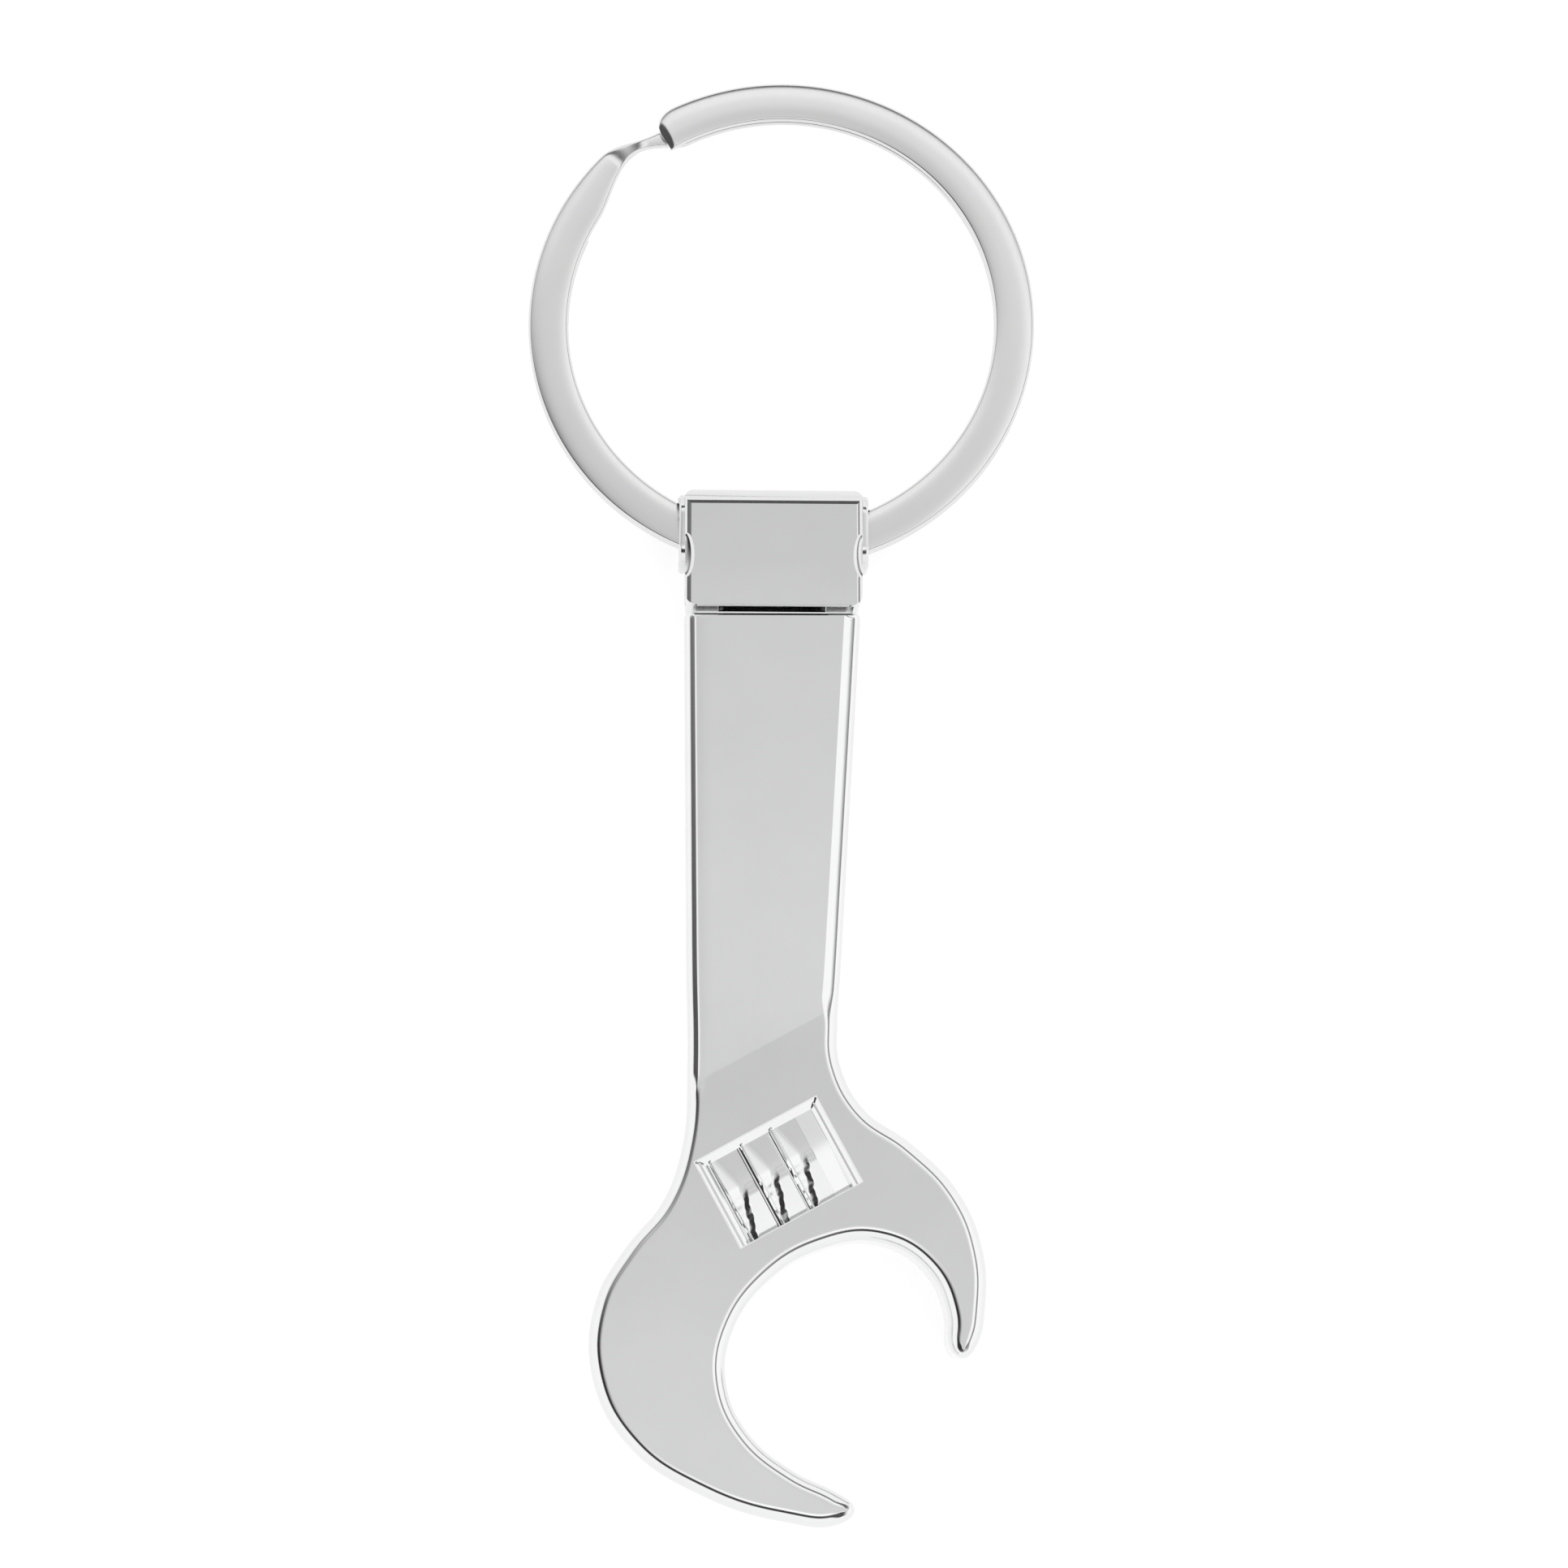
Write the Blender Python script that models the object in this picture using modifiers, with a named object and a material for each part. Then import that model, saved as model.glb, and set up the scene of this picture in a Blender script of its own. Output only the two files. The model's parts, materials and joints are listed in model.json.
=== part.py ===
"""Keychain bottle opener shaped like an adjustable wrench, lying on its back.

Metres, +Z up, +Y towards the key ring.

Four pieces: the cast wrench body, the hollow link that carries the ring, the hinge pin between them,
and the flat split ring. The origin is at the middle of the footprint, on the surface that the opener lies on.
"""

from math import ceil, cos, pi, radians, sin, tan

import bmesh
import bpy
from mathutils import Matrix, Vector

MM = 0.001

# Wrench body, in millimetres. The outline is its widest section, halfway up the edge rounding.
HEAD_THICK = 4.2
CREASE_MIDDLE = (-0.8, -15.4)
CREASE_ANGLE = radians(28.7)
HANDLE_FALL = radians(1.6)  # the handle's front drops away from the crease at this angle
EDGE_ROUNDING = 0.45
END_ROUNDING = 0.3
SMOOTH, CORNER = "AUTO", "VECTOR"
HANDLE_END_Y = 9.7
OUTLINE = (
    (4.55, HANDLE_END_Y, CORNER),
    (3.95, -0.5, SMOOTH),
    (3.33, -10.9, SMOOTH),
    (3.12, -14.4, SMOOTH),
    (3.2, -16.4, SMOOTH),
    (4.6, -19.15, SMOOTH),
    (7.2, -21.0, SMOOTH),
    (10.0, -23.85, SMOOTH),
    (11.35, -27.2, SMOOTH),
    (11.45, -30.3, SMOOTH),
    (10.95, -32.5, SMOOTH),
    (10.15, -33.25, SMOOTH),
    (9.4, -32.6, SMOOTH),
    (9.35, -30.9, SMOOTH),
    (8.2, -28.25, SMOOTH),
    (5.4, -26.65, SMOOTH),
    (2.3, -27.0, SMOOTH),
    (-0.8, -28.8, SMOOTH),
    (-2.9, -31.8, SMOOTH),
    (-3.2, -34.6, SMOOTH),
    (-2.0, -37.3, SMOOTH),
    (0.65, -39.5, SMOOTH),
    (3.2, -40.75, SMOOTH),
    (4.1, -41.55, SMOOTH),
    (3.3, -42.35, SMOOTH),
    (0.0, -42.25, SMOOTH),
    (-4.9, -40.65, SMOOTH),
    (-8.6, -38.15, SMOOTH),
    (-10.7, -34.4, SMOOTH),
    (-10.6, -30.1, SMOOTH),
    (-8.9, -27.0, SMOOTH),
    (-6.8, -24.4, SMOOTH),
    (-5.65, -20.9, SMOOTH),
    (-5.44, -17.0, SMOOTH),
    (-5.52, -10.9, SMOOTH),
    (-5.63, -0.5, SMOOTH),
    (-5.73, HANDLE_END_Y, CORNER),
)

# Adjusting-worm relief, cast into the front and the back of the head.
WORM_MIDDLE = (-0.28, -22.75)
WORM_ANGLE = radians(28.6)
WORM_LENGTH = 7.8
WORM_WIDTH = 5.45
WORM_DEPTH = 1.3
CORE_RADIUS = 3.0
THREAD_RADIUS = 3.2
COLLAR_RADIUS = 3.08
THREADS_AT = (0.7, 2.7, 4.6)
COLLAR_AT = 6.2
THREAD_TOP = 0.3
THREAD_FOOT = 0.6
COLLAR_SLOPE = 0.1
WORM_SUNK = 0.03  # the threads stay this far under the face
WORM_OVERRUN = 0.5  # the worm form runs past both ends of its recess by this much
WORM_STEPS = 72

# Link and the hinge pin under it.
LINK_THICK = 4.5
LINK_LEFT, LINK_RIGHT = -5.75, 4.65
LINK_BOTTOM_Y, LINK_TOP_Y = 9.98, 17.15
LINK_CORNER = 0.5
LINK_SHOULDER = 1.0
LINK_ROUNDING = 0.4
LINK_TOP_ROUNDING = 1.2
EYE_BOTTOM_Y, EYE_TOP_Y = 12.6, 16.6
EYE_HEIGHT = 3.3
EYE_Z = 2.25
EYE_ROUNDING = 0.9
EYE_FLARE = 0.25
EYE_STRAIGHT = 3.3
CHAMBER_BOTTOM_Y, CHAMBER_TOP_Y = 12.0, 14.0  # the room inside the eye for the bow of the ring
CHAMBER_WIDTH = 8.8
CHAMBER_HEIGHT = 3.2
COLLAR_PROUD = 0.35
COLLAR_WALL = 0.2
COLLAR_CORNER = 1.1
COLLAR_ROUNDING = 0.15
SCALLOP_Y = 12.9
SCALLOP_SIZE = (0.95, 1.35, 0.45)
CAVITY_WIDTH = 6.4
CAVITY_TOP_Y = 12.4
WALL = 0.6
PIN_Y, PIN_Z = 10.95, 2.0
PIN_RADIUS = 0.5
PIN_PRESS_GAP = 0.02
PIN_RUNNING_GAP = 0.06
TONGUE_WIDTH = 5.8
TONGUE_RADIUS = 0.85
TONGUE_ROOT = 1.5  # how far the tongue is sunk in the handle
PIN_END_INSET = 0.1

# Flat split ring: one strip wound in two turns, with a joggle where it changes level.
RING_OUTER, RING_INNER = 15.0, 12.65
OVAL = 0.1  # the ring is this much out of round, longest at OVAL_ANGLE
OVAL_ANGLE = 50.0
STRIP_THICK = 0.5
COIL_GAP = 0.05
RING_TILT = radians(2.9)
RING_PIVOT = (0.0, 14.1, 2.02)
RING_MIDDLE_Y = 13.56  # from the pivot to the ring's middle
STRIP_EDGE = 0.15
END_ANGLE = 121.5
JOGGLE_FROM, JOGGLE_TO = 150.0, 122.0
BACK_END_ANGLE = 156.0
# Where each side of the neck starts, is deepest and ends, in degrees, and its depth.
NECK_INNER = (150.0, 128.5, 116.0, 1.15)
NECK_OUTER = (137.0, 121.0, 108.0, 0.8)
END_TAPER = 6.5
END_CORNER = 1.1
TURN_STEP = 4.0
JOGGLE_STEP = 1.5
END_STEP = 1.0
TAPER_POWER = 2.5  # shapes the rounded corner at each end of the strip

ROUND_STEPS = 32
CORNER_STEPS = 5
OUTLINE_STEPS = 6
EDGE_STEPS = 3
EYE_STEPS = 4
SCALLOP_STEPS = (24, 12)
CUT_MARGIN = 1.0  # a cutter reaches this far beyond the surface that it cuts
LENGTHWISE_LEAST = 1.0  # an edge that spans more than this along X runs lengthwise
RIM_LEAST_BEND = radians(30)
SHARP_ANGLE = radians(35)


def clear_scene():
    for old in list(bpy.data.objects):
        bpy.data.objects.remove(old, do_unlink=True)


def new_collection(name):
    collection = bpy.data.collections.new(name)
    bpy.context.scene.collection.children.link(collection)
    return collection


def metal(name, colour, roughness):
    material = bpy.data.materials.new(name)
    material.use_nodes = True
    shader = material.node_tree.nodes["Principled BSDF"]
    shader.inputs["Base Color"].default_value = (*colour, 1.0)
    shader.inputs["Roughness"].default_value = roughness
    shader.inputs["Metallic"].default_value = 1.0
    return material


def mesh_object(name, bm, collection, origin=(0, 0, 0)):
    """An object from a bmesh in millimetres, with its origin at the given point in millimetres."""
    bmesh.ops.translate(bm, verts=bm.verts, vec=-Vector(origin))
    bmesh.ops.scale(bm, verts=bm.verts, vec=(MM, MM, MM))
    mesh = bpy.data.meshes.new(name)
    bm.to_mesh(mesh)
    bm.free()
    made = bpy.data.objects.new(name, mesh)
    made.location = Vector(origin) * MM
    collection.objects.link(made)
    return made


def as_cutter(made):
    made.hide_render = True
    made.display_type = "WIRE"
    return made


def add_boolean(made, operation, other, label):
    modifier = made.modifiers.new(label, "BOOLEAN")
    modifier.operation = operation
    modifier.solver = "EXACT"
    modifier.object = other


def add_bevel(made, width, segments, limit="WEIGHT"):
    modifier = made.modifiers.new("edge_rounding", "BEVEL")
    modifier.width = width * MM
    modifier.segments = segments
    modifier.limit_method = limit
    modifier.use_clamp_overlap = False


def block(low, high):
    """A box between two corners."""
    bm = bmesh.new()
    bmesh.ops.create_cube(bm, size=1.0)
    low, high = Vector(low), Vector(high)
    bmesh.ops.scale(bm, verts=bm.verts, vec=high - low)
    bmesh.ops.translate(bm, verts=bm.verts, vec=(low + high) / 2)
    return bm


def rod(x_from, x_to, y, z, radius):
    """A cylinder along X."""
    bm = bmesh.new()
    bmesh.ops.create_cone(
        bm, cap_ends=True, segments=ROUND_STEPS, radius1=radius, radius2=radius, depth=x_to - x_from
    )
    turn = Matrix.Translation(((x_from + x_to) / 2, y, z)) @ Matrix.Rotation(pi / 2, 4, "Y")
    bmesh.ops.transform(bm, matrix=turn, verts=bm.verts)
    return bm


def plate_from_outline(name, anchors, thick, steps, collection):
    """A bmesh of a flat plate, its outline a Bezier curve through the anchors and its back at z = 0."""
    curve = bpy.data.curves.new(name, "CURVE")
    curve.dimensions = "2D"
    curve.fill_mode = "BOTH"
    curve.extrude = thick / 2
    curve.resolution_u = steps
    spline = curve.splines.new("BEZIER")
    spline.bezier_points.add(len(anchors) - 1)
    spline.use_cyclic_u = True
    for point, (x, y, kind) in zip(spline.bezier_points, anchors):
        point.co = (x, y, 0)
        point.handle_left_type = kind
        point.handle_right_type = kind
    guide = bpy.data.objects.new(name, curve)
    collection.objects.link(guide)
    guide.location.z = thick / 2
    bpy.context.view_layer.update()
    evaluated = guide.evaluated_get(bpy.context.evaluated_depsgraph_get())
    mesh = bpy.data.meshes.new_from_object(evaluated)
    bm = bmesh.new()
    bm.from_mesh(mesh)
    bmesh.ops.transform(bm, matrix=guide.matrix_world, verts=bm.verts)
    bmesh.ops.remove_doubles(bm, verts=bm.verts, dist=1e-5)
    flat = [e for e in bm.edges if len(e.link_faces) == 2 and e.calc_face_angle() < 1e-4]
    bmesh.ops.dissolve_edges(bm, edges=flat, use_verts=False)
    bmesh.ops.recalc_face_normals(bm, faces=bm.faces)
    bpy.data.objects.remove(guide, do_unlink=True)
    bpy.data.meshes.remove(mesh)
    return bm


def is_rim(edge):
    """True for the edges around a plate's front and back."""
    level = abs(edge.verts[0].co.z - edge.verts[1].co.z) < HEAD_THICK / 4
    return level and edge.calc_face_angle() > RIM_LEAST_BEND


def is_lengthwise(edge):
    """True for an edge that runs mostly along X."""
    return abs(edge.verts[0].co.x - edge.verts[1].co.x) > LENGTHWISE_LEAST


def weigh(bm, chosen, width_at, widest):
    """Writes the bevel weight of each chosen edge from the rounding wanted at its middle."""
    layer = bm.edges.layers.float.new("bevel_weight_edge")
    for edge in filter(chosen, bm.edges[:]):
        middle = (edge.verts[0].co + edge.verts[1].co) / 2
        edge[layer] = width_at(middle) / widest


def beyond_crease(point):
    """How far a point lies from the crease, positive on the handle's side."""
    across = Vector((-sin(CREASE_ANGLE), cos(CREASE_ANGLE)))
    return (Vector(point[:2]) - Vector(CREASE_MIDDLE)).dot(across)


def body_rounding(point):
    return END_ROUNDING if point.y > HANDLE_END_Y - 1e-3 else EDGE_ROUNDING


def worm_profile():
    """The worm's turned profile as (radius, height) pairs, from its top end down to its bottom end."""
    half = WORM_LENGTH / 2 + WORM_OVERRUN
    end = WORM_LENGTH / 2
    points = [(0.0, half), (COLLAR_RADIUS, half), (COLLAR_RADIUS, COLLAR_AT - end)]
    points.append((CORE_RADIUS, COLLAR_AT - end - COLLAR_SLOPE))
    for at in reversed(THREADS_AT):
        middle = at - end
        points.append((CORE_RADIUS, middle + THREAD_FOOT / 2))
        points.append((THREAD_RADIUS, middle + THREAD_TOP / 2))
        points.append((THREAD_RADIUS, middle - THREAD_TOP / 2))
        points.append((CORE_RADIUS, middle - THREAD_FOOT / 2))
    points.append((CORE_RADIUS, -half))
    points.append((0.0, -half))
    return points


def worm_form(name, facing, collection):
    """The worm in its recess, turned about its own axis. Facing is 1 at the front and -1 at the back."""
    bm = bmesh.new()
    verts = [bm.verts.new((radius, 0, height)) for radius, height in worm_profile()]
    for first, second in zip(verts, verts[1:]):
        bm.edges.new((first, second))
    made = as_cutter(mesh_object(name, bm, collection))
    screw = made.modifiers.new("turned", "SCREW")
    screw.axis = "Z"
    screw.angle = 2 * pi
    screw.steps = WORM_STEPS
    screw.render_steps = WORM_STEPS
    screw.use_merge_vertices = True
    screw.merge_threshold = 1e-6
    lay_down = Matrix.Rotation(WORM_ANGLE, 4, "Z") @ Matrix.Rotation(pi / 2, 4, "Y")
    axis_z = HEAD_THICK / 2 + facing * (HEAD_THICK / 2 - THREAD_RADIUS - WORM_SUNK)
    made.matrix_world = Matrix.Translation(Vector((*WORM_MIDDLE, axis_z)) * MM) @ lay_down
    return made


def worm_recess(name, facing, cutters):
    """The cutter for one recess: a block less the worm that stays in it."""
    floor = HEAD_THICK / 2 - WORM_DEPTH
    half_length, half_width = WORM_LENGTH / 2, WORM_WIDTH / 2
    z_from, z_to = sorted((facing * floor, facing * (floor + WORM_DEPTH + CUT_MARGIN)))
    bm = block((-half_length, -half_width, z_from), (half_length, half_width, z_to))
    place = Matrix.Translation((*WORM_MIDDLE, HEAD_THICK / 2)) @ Matrix.Rotation(WORM_ANGLE, 4, "Z")
    bmesh.ops.transform(bm, matrix=place, verts=bm.verts)
    recess = as_cutter(mesh_object(name, bm, cutters))
    add_boolean(recess, "DIFFERENCE", worm_form(name + "_worm", facing, cutters), "keep_worm")
    return recess


def make_tongue(cutters):
    """The tongue on the handle's end that reaches into the link, round about the pin."""
    middle_x = (LINK_LEFT + LINK_RIGHT) / 2
    x_from, x_to = middle_x - TONGUE_WIDTH / 2, middle_x + TONGUE_WIDTH / 2
    round_end = rod(x_from, x_to, PIN_Y, PIN_Z, TONGUE_RADIUS)
    knuckle = as_cutter(mesh_object("tongue_knuckle", round_end, cutters))
    neck = block(
        (x_from, HANDLE_END_Y - TONGUE_ROOT, PIN_Z - TONGUE_RADIUS),
        (x_to, PIN_Y, PIN_Z + TONGUE_RADIUS),
    )
    tongue = as_cutter(mesh_object("tongue", neck, cutters))
    add_boolean(tongue, "UNION", knuckle, "knuckle")
    return tongue


def make_body(parts, cutters):
    bm = plate_from_outline("wrench_outline", OUTLINE, HEAD_THICK, OUTLINE_STEPS, cutters)
    across = Vector((-sin(CREASE_ANGLE), cos(CREASE_ANGLE), 0))
    everything = bm.verts[:] + bm.edges[:] + bm.faces[:]
    bmesh.ops.bisect_plane(
        bm, geom=everything, dist=1e-5, plane_co=(*CREASE_MIDDLE, 0), plane_no=across
    )
    for vert in bm.verts:
        if vert.co.z > HEAD_THICK / 2:
            vert.co.z -= max(beyond_crease(vert.co), 0.0) * tan(HANDLE_FALL)
    weigh(bm, is_rim, body_rounding, EDGE_ROUNDING)
    body = mesh_object("wrench_body", bm, parts)
    add_bevel(body, EDGE_ROUNDING, EDGE_STEPS)
    add_boolean(body, "DIFFERENCE", worm_recess("front_recess", 1, cutters), "front_relief")
    add_boolean(body, "DIFFERENCE", worm_recess("back_recess", -1, cutters), "back_relief")
    add_boolean(body, "UNION", make_tongue(cutters), "tongue")
    bore = rod(LINK_LEFT, LINK_RIGHT, PIN_Y, PIN_Z, PIN_RADIUS + PIN_RUNNING_GAP)
    add_boolean(body, "DIFFERENCE", as_cutter(mesh_object("pin_bore", bore, cutters)), "pin_bore")
    return body


def rounded_box(low, high, corner, top_corner):
    """Anchors of a rectangle with rounded corners, one radius below and one above."""
    anchors = []
    corners = (
        (high[0], high[1], -1, -1, top_corner),
        (high[0], low[1], -1, 1, corner),
        (low[0], low[1], 1, 1, corner),
        (low[0], high[1], 1, -1, top_corner),
    )
    for index, (x, y, inwards_x, inwards_y, radius) in enumerate(corners):
        centre = (x + inwards_x * radius, y + inwards_y * radius)
        start = pi / 2 * (1 - index)
        for step in range(CORNER_STEPS + 1):
            angle = start - pi / 2 * step / CORNER_STEPS
            anchors.append((centre[0] + radius * cos(angle), centre[1] + radius * sin(angle), CORNER))
    return anchors


def link_side_profile(cutters):
    """The link's shape seen from its side, as a bar along X that is wider than the link."""
    anchors = rounded_box((-LINK_THICK, LINK_BOTTOM_Y), (0.0, LINK_TOP_Y), LINK_ROUNDING, LINK_TOP_ROUNDING)
    width = LINK_RIGHT - LINK_LEFT + 2 * CUT_MARGIN
    bm = plate_from_outline("link_side", anchors, width, 1, cutters)
    stand_up = Matrix.Translation((LINK_LEFT - CUT_MARGIN, 0, 0)) @ Matrix.Rotation(pi / 2, 4, "Y")
    bmesh.ops.transform(bm, matrix=stand_up, verts=bm.verts)
    return as_cutter(mesh_object("link_side_profile", bm, cutters))


def eye_cutter(cutters):
    """The eye that the ring passes through: straight in the middle and flared towards both mouths."""
    middle_x = (LINK_LEFT + LINK_RIGHT) / 2
    reach = (LINK_RIGHT - LINK_LEFT) / 2 + CUT_MARGIN
    half_z = EYE_HEIGHT / 2
    bm = block(
        (middle_x - reach, EYE_BOTTOM_Y, EYE_Z - half_z),
        (middle_x + reach, EYE_TOP_Y, EYE_Z + half_z),
    )
    for side in (-1, 1):
        bmesh.ops.bisect_plane(
            bm,
            geom=bm.verts[:] + bm.edges[:] + bm.faces[:],
            dist=1e-5,
            plane_co=(middle_x + side * EYE_STRAIGHT, 0, 0),
            plane_no=(1, 0, 0),
        )
    for vert in bm.verts:
        if abs(vert.co.x - middle_x) > EYE_STRAIGHT + 0.1:
            vert.co.z += EYE_FLARE if vert.co.z > EYE_Z else -EYE_FLARE
    bmesh.ops.recalc_face_normals(bm, faces=bm.faces)
    weigh(bm, is_lengthwise, lambda point: 1.0, 1.0)
    cutter = as_cutter(mesh_object("eye", bm, cutters))
    add_bevel(cutter, EYE_ROUNDING, EYE_STEPS)
    return cutter


def make_link(parts, cutters):
    pin_axis = ((LINK_LEFT + LINK_RIGHT) / 2, PIN_Y, PIN_Z)
    anchors = rounded_box((LINK_LEFT, LINK_BOTTOM_Y), (LINK_RIGHT, LINK_TOP_Y), LINK_CORNER, LINK_SHOULDER)
    bm = plate_from_outline("link_outline", anchors, LINK_THICK, 1, cutters)
    weigh(bm, is_rim, lambda point: 1.0, 1.0)
    link = mesh_object("link", bm, parts, pin_axis)
    add_bevel(link, LINK_ROUNDING, EDGE_STEPS)
    add_boolean(link, "INTERSECT", link_side_profile(cutters), "side_profile")
    collar = block(
        (LINK_LEFT - COLLAR_PROUD, EYE_BOTTOM_Y - COLLAR_WALL, EYE_Z - EYE_HEIGHT / 2 - EYE_FLARE),
        (LINK_RIGHT + COLLAR_PROUD, EYE_TOP_Y + COLLAR_WALL, EYE_Z + EYE_HEIGHT / 2 + EYE_FLARE),
    )
    lengthwise = list(filter(is_lengthwise, collar.edges))
    corner = {"offset": COLLAR_CORNER, "segments": EYE_STEPS, "profile": 0.5, "affect": "EDGES"}
    bmesh.ops.bevel(collar, geom=lengthwise, **corner)
    around = [e for e in collar.edges if abs(e.verts[0].co.x - e.verts[1].co.x) < 1e-4]
    bmesh.ops.bevel(collar, geom=around, offset=COLLAR_ROUNDING, segments=2, profile=0.5, affect="EDGES")
    add_boolean(link, "UNION", as_cutter(mesh_object("eye_collar", collar, cutters)), "eye_collar")
    cavity = block(
        (pin_axis[0] - CAVITY_WIDTH / 2, LINK_BOTTOM_Y - CUT_MARGIN, WALL),
        (pin_axis[0] + CAVITY_WIDTH / 2, CAVITY_TOP_Y, LINK_THICK - WALL),
    )
    add_boolean(link, "DIFFERENCE", as_cutter(mesh_object("knuckle_cavity", cavity, cutters)), "cavity")
    add_boolean(link, "DIFFERENCE", eye_cutter(cutters), "eye")
    chamber = block(
        (pin_axis[0] - CHAMBER_WIDTH / 2, CHAMBER_BOTTOM_Y, EYE_Z - CHAMBER_HEIGHT / 2),
        (pin_axis[0] + CHAMBER_WIDTH / 2, CHAMBER_TOP_Y, EYE_Z + CHAMBER_HEIGHT / 2),
    )
    add_boolean(link, "DIFFERENCE", as_cutter(mesh_object("eye_chamber", chamber, cutters)), "chamber")
    bore = rod(LINK_LEFT - CUT_MARGIN, LINK_RIGHT + CUT_MARGIN, PIN_Y, PIN_Z, PIN_RADIUS + PIN_PRESS_GAP)
    add_boolean(link, "DIFFERENCE", as_cutter(mesh_object("link_bore", bore, cutters)), "link_bore")
    for side, x in (("left", LINK_LEFT), ("right", LINK_RIGHT)):
        for face, z in (("front", LINK_THICK), ("back", 0.0)):
            scallop = bmesh.new()
            around, upwards = SCALLOP_STEPS
            bmesh.ops.create_uvsphere(scallop, u_segments=around, v_segments=upwards, radius=1.0)
            place = Matrix.Translation((x, SCALLOP_Y, z)) @ Matrix.Diagonal((*SCALLOP_SIZE, 1.0))
            bmesh.ops.transform(scallop, matrix=place, verts=scallop.verts)
            cutter = as_cutter(mesh_object(f"scallop_{face}_{side}", scallop, cutters))
            add_boolean(link, "DIFFERENCE", cutter, f"scallop_{face}_{side}")
    return link


def make_pin(parts, link):
    ends = (LINK_LEFT + PIN_END_INSET, LINK_RIGHT - PIN_END_INSET)
    pin_axis = ((LINK_LEFT + LINK_RIGHT) / 2, PIN_Y, PIN_Z)
    pin = mesh_object("hinge_pin", rod(*ends, PIN_Y, PIN_Z, PIN_RADIUS), parts, pin_axis)
    pin.parent = link
    pin.matrix_parent_inverse = Matrix.Translation(-link.location)
    return pin


def ease(amount):
    amount = min(max(amount, 0.0), 1.0)
    return amount * amount * (3 - 2 * amount)


def notch(angle, start, deepest, end, depth):
    """The depth of one side of the neck at an angle on the strip's second pass, in millimetres."""
    if angle > deepest:
        return depth * ease((start - angle) / (start - deepest))
    return depth * ease((angle - end) / (deepest - end))


def strip_section(travel):
    """The strip's inner and outer radius and height, by the angle travelled clockwise from its front end."""
    upper = (STRIP_THICK + COIL_GAP) / 2
    inner, outer = RING_INNER, RING_OUTER
    second_pass = END_ANGLE + 360 - travel
    height = upper - 2 * upper * ease((JOGGLE_FROM - second_pass) / (JOGGLE_FROM - JOGGLE_TO))
    inner += notch(second_pass, *NECK_INNER)
    outer -= notch(second_pass, *NECK_OUTER)
    last = END_ANGLE + 720 - BACK_END_ANGLE
    from_end = min(travel, last - travel)
    if from_end < END_TAPER:
        share = 1 - from_end / END_TAPER
        outer -= END_CORNER * (1 - (1 - share**TAPER_POWER) ** 0.5)
    return inner, outer, height


def strip_travels():
    """The angles at which the strip's sections stand, closer together at its ends and its joggle."""
    joggle_start = END_ANGLE + 360 - JOGGLE_FROM
    joggle_end = END_ANGLE + 360 - NECK_OUTER[2]
    last = END_ANGLE + 720 - BACK_END_ANGLE
    stretches = (
        (0, END_TAPER, END_STEP),
        (END_TAPER, joggle_start, TURN_STEP),
        (joggle_start, joggle_end, JOGGLE_STEP),
        (joggle_end, last - END_TAPER, TURN_STEP),
        (last - END_TAPER, last, END_STEP),
    )
    travels = [0.0]
    for start, end, step in stretches:
        count = ceil((end - start) / step)
        travels += [start + (end - start) * (i + 1) / count for i in range(count)]
    return travels


def make_ring(parts):
    bm = bmesh.new()
    rings = []
    half = STRIP_THICK / 2
    for travel in strip_travels():
        inner, outer, height = strip_section(travel)
        edge = min(STRIP_EDGE, (outer - inner) / 4)
        section = (
            (inner + edge, height - half),
            (outer - edge, height - half),
            (outer, height - half + edge),
            (outer, height + half - edge),
            (outer - edge, height + half),
            (inner + edge, height + half),
            (inner, height + half - edge),
            (inner, height - half + edge),
        )
        angle = radians(END_ANGLE - travel)
        oval = OVAL * cos(2 * (angle - radians(OVAL_ANGLE)))
        ring = []
        for radius, level in section:
            from_middle = radius + oval
            at = (from_middle * cos(angle), RING_MIDDLE_Y + from_middle * sin(angle), level)
            ring.append(bm.verts.new(at))
        rings.append(ring)
    for first, second in zip(rings, rings[1:]):
        for i in range(len(first)):
            j = (i + 1) % len(first)
            bm.faces.new((first[i], first[j], second[j], second[i]))
    bm.faces.new(reversed(rings[0]))
    bm.faces.new(rings[-1])
    bmesh.ops.recalc_face_normals(bm, faces=bm.faces)
    ring = mesh_object("split_ring", bm, parts)
    ring.location = Vector(RING_PIVOT) * MM
    ring.rotation_euler.x = -RING_TILT
    return ring


def main():
    clear_scene()
    parts = new_collection("keychain_bottle_opener")
    cutters = new_collection("cutters")
    body = make_body(parts, cutters)
    link = make_link(parts, cutters)
    pin = make_pin(parts, link)
    ring = make_ring(parts)
    plated = metal("bright_chrome", (0.72, 0.72, 0.73), 0.12)
    satin = metal("nickel_plated_steel", (0.66, 0.66, 0.65), 0.2)
    steel = metal("plain_steel", (0.5, 0.5, 0.5), 0.35)
    for piece, material in ((body, plated), (link, plated), (pin, steel), (ring, satin)):
        piece.data.materials.append(material)
        piece.data.shade_smooth()
        piece.data.set_sharp_from_angle(angle=SHARP_ANGLE)


main()
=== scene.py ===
"""Looks of the keychain bottle opener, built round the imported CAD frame.

Lengths are in millimetres and angles in degrees, unless radians() or a comment says otherwise."""

import json
from math import ceil, cos, pi, radians, sin, tan

import bmesh
import bpy
import numpy as np
from mathutils import Matrix, Vector
from mathutils.geometry import delaunay_2d_cdt


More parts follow.
